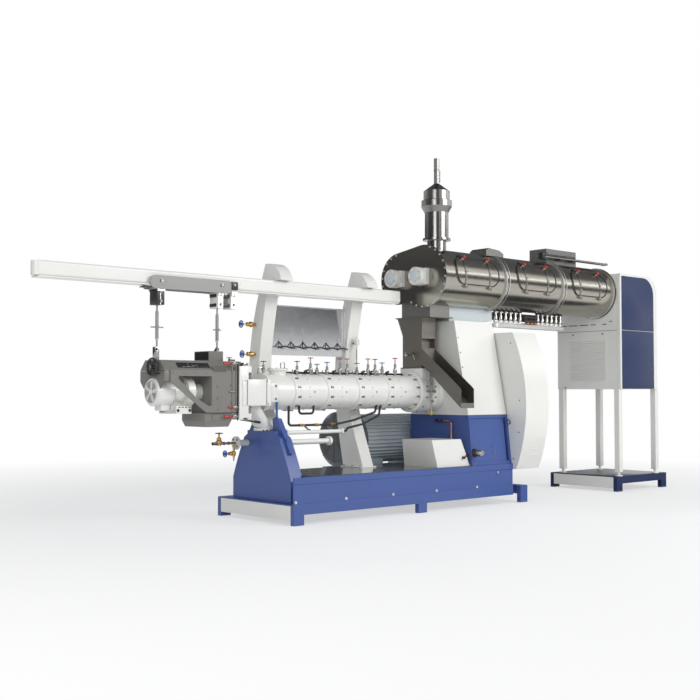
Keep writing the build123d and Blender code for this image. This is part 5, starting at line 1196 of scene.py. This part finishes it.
# Gearbox, its cover, the belt guard and the oil pipes
GEARBOX_LEFT = 2.820
COVER_STUD_Z = (2.081, 1.895, 1.712, 1.500, 1.290)
STUD_Z = (0.733, 0.655)
STUD = [(0, 0), (0.011, 0), (0.009, 0.012), (0, 0.014)]
GUARD_ARC = ((-0.740, 0.430), (-0.905, 1.330), (-0.690, 2.165))
GUARD_LOUVRES = (0.600, 0.840)
GUARD_LOUVRE_PITCH = 0.020
GUARD_LEFT = 3.560
GUARD_BOLTS = ((-0.660, 2.029), (-0.800, 1.300), (-0.790, 0.897), (-0.700, 0.560))


def gearbox_trim():
    """Studs down the cover's sloping edge and on the gearbox, and the seam between the two as a line of
    painted shade.
    """
    steel, seam = fresh(2)
    for z in COVER_STUD_Z:
        bolt(steel, at(GEARBOX_LEFT, -0.400 - (2.3 - z) * 0.19, z), LEFT, 0.007)
    for z in STUD_Z:
        lathe(steel, STUD, at(3.233, -0.637 - (0.80 - z) * 0.1, z), FRONT, 12)
    piece("gearbox_studs", steel, BRIGHT)
    block(seam, (GEARBOX_LEFT - 0.0005, -0.599, 1.1185), (3.541, -0.601, 1.1215), 0)
    piece("gearbox_seam", seam, SLOT_SHADE)


def guard_front(height):
    """The y of the guard's bulging front at a height, on the arc through three points."""
    (ya, za), (yb, zb), (yc, zc) = GUARD_ARC
    span = 2 * (ya * (zb - zc) + yb * (zc - za) + yc * (za - zb))
    a, b, c = ya**2 + za**2, yb**2 + zb**2, yc**2 + zc**2
    y = (a * (zb - zc) + b * (zc - za) + c * (za - zb)) / span
    z = (a * (yc - yb) + b * (ya - yc) + c * (yb - ya)) / span
    radius = math.hypot(ya - y, za - z)
    return y - math.sqrt(radius**2 - (height - z) ** 2)


def guard_trim():
    """Air louvres low on the guard's bulging front, and the bolts on its left side."""
    mesh, steel = fresh(2)
    low, high = GUARD_LOUVRES
    for index in range(int((high - low) / GUARD_LOUVRE_PITCH)):
        z = low + index * GUARD_LOUVRE_PITCH
        y = guard_front(z)
        block(mesh, (3.735, y - 0.004, z), (3.955, y + 0.010, z + 0.010), 0.002)
    bolts(steel, 0.008, LEFT, *[(GUARD_LEFT, y, z) for y, z in GUARD_BOLTS])
    piece("guard_louvres", mesh, WHITE)
    piece("guard_bolts", steel, BRIGHT)


def lifting_ring():
    mesh = bmesh.new()
    ring(mesh, at(3.548, -0.625, 1.026), (1, 0, 0.3), 0.030, 0.007, 24, 8)
    rods(mesh, 0.012, 8, ((3.5405, -0.585, 1.000), (3.548, -0.600, 1.000)))
    piece("lifting_ring", mesh, BLUE)


def stand_deck():
    """The dark sheet that closes the stand's base from above."""
    mesh = bmesh.new()
    low, high = [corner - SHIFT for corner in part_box("stand_base")]
    block(mesh, (low.x + 0.02, low.y + 0.02, high.z), (high.x - 0.02, high.y - 0.02, high.z + 0.003), 0.001)
    piece("stand_deck", mesh, COWL)


PIPE_R = 0.0115
PIPE_TOP = (2.770, -0.088, 1.048)
PIPE_MIDDLE = (2.785, -0.349, 1.040)
PIPE_FOOT = (2.785, -0.349, 0.640)
PIPE_LOW = ((2.700, -0.560, 0.600), (2.700, -0.625, 0.606), (2.819, -0.603, 0.639))
# Hexagon nuts on the oil pipes: radius, start and end
PIPE_NUTS = (
    (0.017, (2.772, -0.10, 1.048), (2.774, -0.155, 1.046)),
    (0.016, (2.775, -0.18, 1.046), (2.777, -0.215, 1.045)),
    (0.018, (2.700, -0.610, 0.604), (2.700, -0.650, 0.606)),
)
FILTER_AT = (2.875, -0.655, 0.660)
FILTER_RING = [(0, -0.02), (0.050, -0.02), (0.052, 0.012), (0.046, 0.030), (0.034, 0.034), (0, 0.034)]
FILTER_CAP = [
    (0, 0.034), (0.030, 0.034), (0.030, 0.060), (0.038, 0.066),
    (0.040, 0.112), (0.032, 0.124), (0, 0.126),
]
TAP_Y = -0.276
TAP_X = 2.502
TAP_PIPES = ((2.466, 1.470), (TAP_X, 1.130))
TAP_TOP = 1.660
CROSS_PIPE_Z = 1.413
TAP_CAP = [(0, 0), (0.015, 0.004), (0.019, 0.020), (0.019, 0.045), (0, 0.045)]


def oil_lines():
    """Copper pipes and the filter on the gearbox, and the drain tap on the feed head."""
    copper, dark, steel, yellow = fresh(4)
    pipe(copper, [PIPE_TOP, PIPE_MIDDLE, PIPE_FOOT], PIPE_R, 0.05, 12)
    pipe(copper, PIPE_LOW, PIPE_R, 0.03, 12)
    rods(dark, 0.020, 10, (PIPE_TOP, (2.8195, *PIPE_TOP[1:])))
    for radius, start, end in PIPE_NUTS:
        rods(dark, radius, 6, (start, end))
    lathe(dark, FILTER_RING, at(*FILTER_AT), FRONT, 28)
    lathe(steel, FILTER_CAP, at(*FILTER_AT), FRONT, 28)
    y = TAP_Y
    for x, low in TAP_PIPES:
        rods(steel, 0.012, 12, ((x, y, low), (x, y, TAP_TOP)))
        rods(steel, 0.018, 6, ((x, y, low + 0.16), (x, y, low + 0.20)))
    rods(steel, 0.011, 10, ((2.430, y, CROSS_PIPE_Z), (2.560, y, CROSS_PIPE_Z)))
    rods(steel, 0.018, 8, ((2.555, y, CROSS_PIPE_Z), (2.575, y, CROSS_PIPE_Z)))
    valve_body(steel, at(TAP_X, y, 1.29), FRONT, 0.05, 0.020)
    lathe(yellow, TAP_CAP, at(TAP_X, y, 1.120), UP, 12)
    rods(yellow, 0.007, 8, ((2.475, y, 1.150), (2.530, y, 1.150)))
    first = piece("copper_lines", copper, COPPER)
    piece("oil_filter_ring", dark, DARK)
    piece("oil_filter_cap", steel, BRIGHT)
    piece("drain_tap", yellow, YELLOW)
    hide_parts("oil_pipes")


# Columns, splash panel, base and main motor
COLUMN_SPANS = ((0.260, 0.430), (1.565, 1.735))
FOOT_WIDE = 0.040
FOOT_GAP = 0.0005
FOOT_Y = (-0.062, 0.305)
FOOT_Z = (0.5062, 0.520)
FOOT_BOLT_Y = (-0.025, 0.120, 0.265)
HOOK_FIRST = 0.556
HOOK_PITCH = 0.180
HOOKS = 6
EDGE_Y = 0.204
EDGE_Z = 1.927
BASE_BOLT_X = (0.027, 0.736, 1.450, 2.165, 2.882)
SKIRT_FACE = -0.682
FRAME_BOLT = (3.262, -0.690, 0.403)
SPLASH_LIP_X = 1.5596
SPLASH_Z = (1.832, 2.404)
FAN_AT = (1.778, 0.720, 0.810)
FAN_RINGS = 9


def column_feet():
    """Foot plates on both sides of each column, bolted down."""
    mesh, heads = fresh(2)
    near, far = FOOT_Y
    floor, top = FOOT_Z
    for x0, x1 in COLUMN_SPANS:
        for left, right in ((x0 - FOOT_WIDE, x0 - FOOT_GAP), (x1 + FOOT_GAP, x1 + FOOT_WIDE)):
            block(mesh, (left, near, floor), (right, far, top), 0.002)
            bolts(heads, 0.011, UP, *[((left + right) / 2, y, top) for y in FOOT_BOLT_Y])
    piece("column_feet", mesh, WHITE)
    piece("column_foot_bolts", heads, BRIGHT)


def shelf_edge():
    """The dark edge strips of the shelf, one lapped over the next at each bracket."""
    mesh = bmesh.new()
    y, z = EDGE_Y, EDGE_Z
    for index in range(HOOKS):
        x = HOOK_FIRST + index * HOOK_PITCH
        peak = (x + 0.030, y, z + 0.004)
        rods(mesh, 0.009, 8, ((x - 0.085, y, z - 0.010), peak), (peak, (x + 0.095, y, z - 0.010)))
        x += 0.0025
        top = (x, 0.286, z + 0.062)
        rods(mesh, 0.005, 6, ((x, 0.210, z), top), ((x, 0.286, z), (x, 0.286, z + 0.070)))
    piece("shelf_edge", mesh, DARK)


def base_bolts():
    mesh = bmesh.new()
    bolts(mesh, 0.014, FRONT, *[(x, SKIRT_FACE, 0.242) for x in BASE_BOLT_X])
    bolts(mesh, 0.012, FRONT, FRAME_BOLT)
    piece("base_bolts", mesh, ZINC)


def fan_cowl_grille():
    mesh = bmesh.new()
    for index in range(FAN_RINGS):
        ring(mesh, at(*FAN_AT), RIGHT, 0.060 + 0.028 * index, 0.0035, 56, 5)
    spokes(mesh, at(*FAN_AT), 0.03, 0.30, 0.005, 6)
    piece("cowl_grille", mesh, COWL)


def splash_lip():
    """A pale strip on the folded edge of the splash panel, beside the second column."""
    mesh = bmesh.new()
    low, high = SPLASH_Z
    block(mesh, (SPLASH_LIP_X - 0.0015, 0.2505, low), (SPLASH_LIP_X, 0.2885, high), 0)
    piece("splash_lip", mesh, ZINC)


def chute_lever():
    """The small slide handle and lever on the chute's left side."""
    mesh = bmesh.new()
    pipe(mesh, [(2.449, 0.05, 1.87), (2.36, 0.05, 1.87), (2.33, -0.02, 1.86)], 0.009, 0.03, 8)
    rods(mesh, 0.011, 8, ((2.38, 0.05, 1.905), (2.38, 0.05, 1.840)))
    pipe(mesh, [(2.449, -0.02, 1.885), (2.42, -0.04, 1.885), (2.41, -0.09, 1.800)], 0.008, 0.03, 8)
    piece("chute_lever", mesh, BRIGHT)


def doors():
    for index in range(DOORS):
        door_trim(index)


DETAILS = (
    barrel_valves, barrel_bolts, port_handle, barrel_sensors, hose_couplings, steam_fittings,
    hood_slots, chamber_front, outlet_panel, toggles, knife_air_valve, knife_motor_trim,
    trolley_trim, wheel_bracket, hood_end, die_casing, die_trim,
    end_plate_bolts, bearing_covers, drum_rings, doors, stack_trim, nozzles, gate_trim,
    front_sheets, housing_side, gearbox_trim, guard_trim, lifting_ring, stand_deck, oil_lines,
    column_feet, shelf_edge, base_bolts, fan_cowl_grille, splash_lip, chute_lever,
)


# Camera, light and stage
CAMERA_AT = (-7.1775, -9.559, 1.400)
CAMERA_YAW = math.radians(41.919)
CAMERA_PITCH = math.radians(2.241)
FOCAL_PIXELS = 1083.98
IMAGE_PIXELS = 700
SENSOR = 36
WORLD_LIGHT = 0.55
SKY = (0.93, 0.96, 1, 1)
CARD_THICK = 0.02
FLOOR_MIDDLE = (2.0, 0, -0.002)
FLOOR_R = (6, 60)
FLOOR_FADE = (4.0, 11.0)
FLOOR_WHITE = 0.55
# Lamps: name, place, target, size and power
LAMPS = (
    ("key", (5.5, -9.0, 6.0), (2.0, 0, 1.3), (5, 4), 510),
    ("streak", (16, -12.5, 7.6), (4, 0, 2.9), (26, 0.8), 170),
    ("fill", (-7.0, -5.0, 4.0), (1.5, 0, 1.3), (4, 4), 175),
)
# Cards: name, place, target, size and material
CARDS = (
    ("card_high", (8, 6, 10), (8, 6, 0), (44, 27), CARD_SOFT),
    ("card_low", (16, -13, 4.75), (16, 0, 4.75), (32, 3.7), CARD),
    ("card_left", (-15, 8, 5), (0, 8, 5), (35, 6.5), CARD),
    ("card_front", (-9, -13, 5), (-9, 0, 5), (12, 6.5), CARD),
    ("card_back", (15, 26, 5), (15, 0, 5), (60, 6.5), CARD),
    ("card_under", (8.4, 0.9, 0.03), (8.4, 0.9, 3), (9.5, 7), CARD),
)


def added(name, data):
    """An object for the data, in the scene."""
    thing = bpy.data.objects.new(name, data)
    bpy.context.scene.collection.objects.link(thing)
    return thing


def add_camera():
    data = bpy.data.cameras.new("camera")
    data.sensor_width = SENSOR
    data.lens = SENSOR * FOCAL_PIXELS / IMAGE_PIXELS
    camera = added("camera", data)
    level = math.cos(CAMERA_PITCH)
    direction = Vector((math.sin(CAMERA_YAW) * level, math.cos(CAMERA_YAW) * level, math.sin(CAMERA_PITCH)))
    camera.location = at(*CAMERA_AT)
    camera.rotation_euler = direction.to_track_quat("-Z", "Y").to_euler()
    bpy.context.scene.camera = camera


def add_lamp(name, place, target, size, power):
    data = bpy.data.lights.new(name, "AREA")
    data.shape = "RECTANGLE"
    data.size, data.size_y = size
    data.energy = power
    lamp = added(name, data)
    lamp.location = at(*place)
    lamp.rotation_euler = (at(*target) - at(*place)).to_track_quat("-Z", "Y").to_euler()


def seen_ray(nodes, link):
    """One for a ray from the camera, off metal or through glass, and zero for light."""
    paths = nodes.new("ShaderNodeLightPath")
    last = paths.outputs["Is Camera Ray"]
    for name in ("Is Glossy Ray", "Is Transmission Ray"):
        either = nodes.new("ShaderNodeMath")
        either.operation = "MAXIMUM"
        link(last, either.inputs[0])
        link(paths.outputs[name], either.inputs[1])
        last = either.outputs[0]
    return last


def mixed(nodes, link, share, first, second, target):
    """Mixes two shaders by a share into an output."""
    mix = nodes.new("ShaderNodeMixShader")
    link(share, mix.inputs[0])
    link(first.outputs[0], mix.inputs[1])
    link(second.outputs[0], mix.inputs[2])
    link(mix.outputs[0], target.inputs["Surface"])


def add_world():
    """White where the camera, metal or glass looks at it, and a plain soft light on everything."""
    world = bpy.data.worlds.new("world")
    bpy.context.scene.world = world
    world.use_nodes = True
    nodes = world.node_tree.nodes
    link = world.node_tree.links.new
    nodes.clear()
    shown = nodes.new("ShaderNodeBackground")
    socket(shown, "Color", (1, 1, 1, 1))
    socket(shown, "Strength", 1)
    light = nodes.new("ShaderNodeBackground")
    socket(light, "Color", SKY)
    socket(light, "Strength", WORLD_LIGHT)
    mixed(nodes, link, seen_ray(nodes, link), light, shown, nodes.new("ShaderNodeOutputWorld"))


def add_card(name, place, target, size, material):
    """A dark studio card that shows only in the steel."""
    mesh = bmesh.new()
    x, y = size[0] / 2, size[1] / 2
    outline = [(-x, -y), (x, -y), (x, y), (-x, y)]
    slab(mesh, outline, CARD_THICK, at(*place), aim(at(*target) - at(*place)))
    data = bpy.data.meshes.new(name)
    mesh.to_mesh(data)
    mesh.free()
    data.materials.append(material)
    card = added(name, data)
    card.visible_camera = False
    card.visible_diffuse = False
    card.visible_shadow = False
    card.visible_transmission = False


def floor_material(middle):
    """Pale near the machine, and plain white to the eye further out."""
    material = surface("floor", (0.90, 0.90, 0.90), 0.6, spread=0.01, scale=0.5)
    nodes = material.node_tree.nodes
    link = material.node_tree.links.new
    coords = nodes.new("ShaderNodeTexCoord")
    away = nodes.new("ShaderNodeVectorMath")
    away.operation = "DISTANCE"
    away.inputs[1].default_value = middle
    link(coords.outputs["Object"], away.inputs[0])
    fade = nodes.new("ShaderNodeMapRange")
    socket(fade, "From Min", FLOOR_FADE[0])
    socket(fade, "From Max", FLOOR_FADE[1])
    socket(fade, "To Min", FLOOR_WHITE)
    link(away.outputs["Value"], fade.inputs["Value"])
    share = nodes.new("ShaderNodeMath")
    share.operation = "MULTIPLY"
    link(fade.outputs["Result"], share.inputs[0])
    link(seen_ray(nodes, link), share.inputs[1])
    white = nodes.new("ShaderNodeEmission")
    mixed(nodes, link, share.outputs[0], nodes["Principled BSDF"], white, nodes["Material Output"])
    return material


def add_floor():
    """A pale floor that keeps the machine's shadow."""
    mesh = bmesh.new()
    middle = at(*FLOOR_MIDDLE)
    lathe(mesh, [(0, 0), *((radius, 0) for radius in FLOOR_R)], middle, UP, 64)
    data = bpy.data.meshes.new("floor")
    mesh.to_mesh(data)
    mesh.free()
    data.materials.append(floor_material(middle))
    added("floor", data)


bpy.context.scene.view_settings.view_transform = "Standard"
dress_nodes()
add_camera()
add_world()
for lamp in LAMPS:
    add_lamp(*lamp)
for card in CARDS:
    add_card(*card)
add_floor()
for build in DETAILS:
    build()
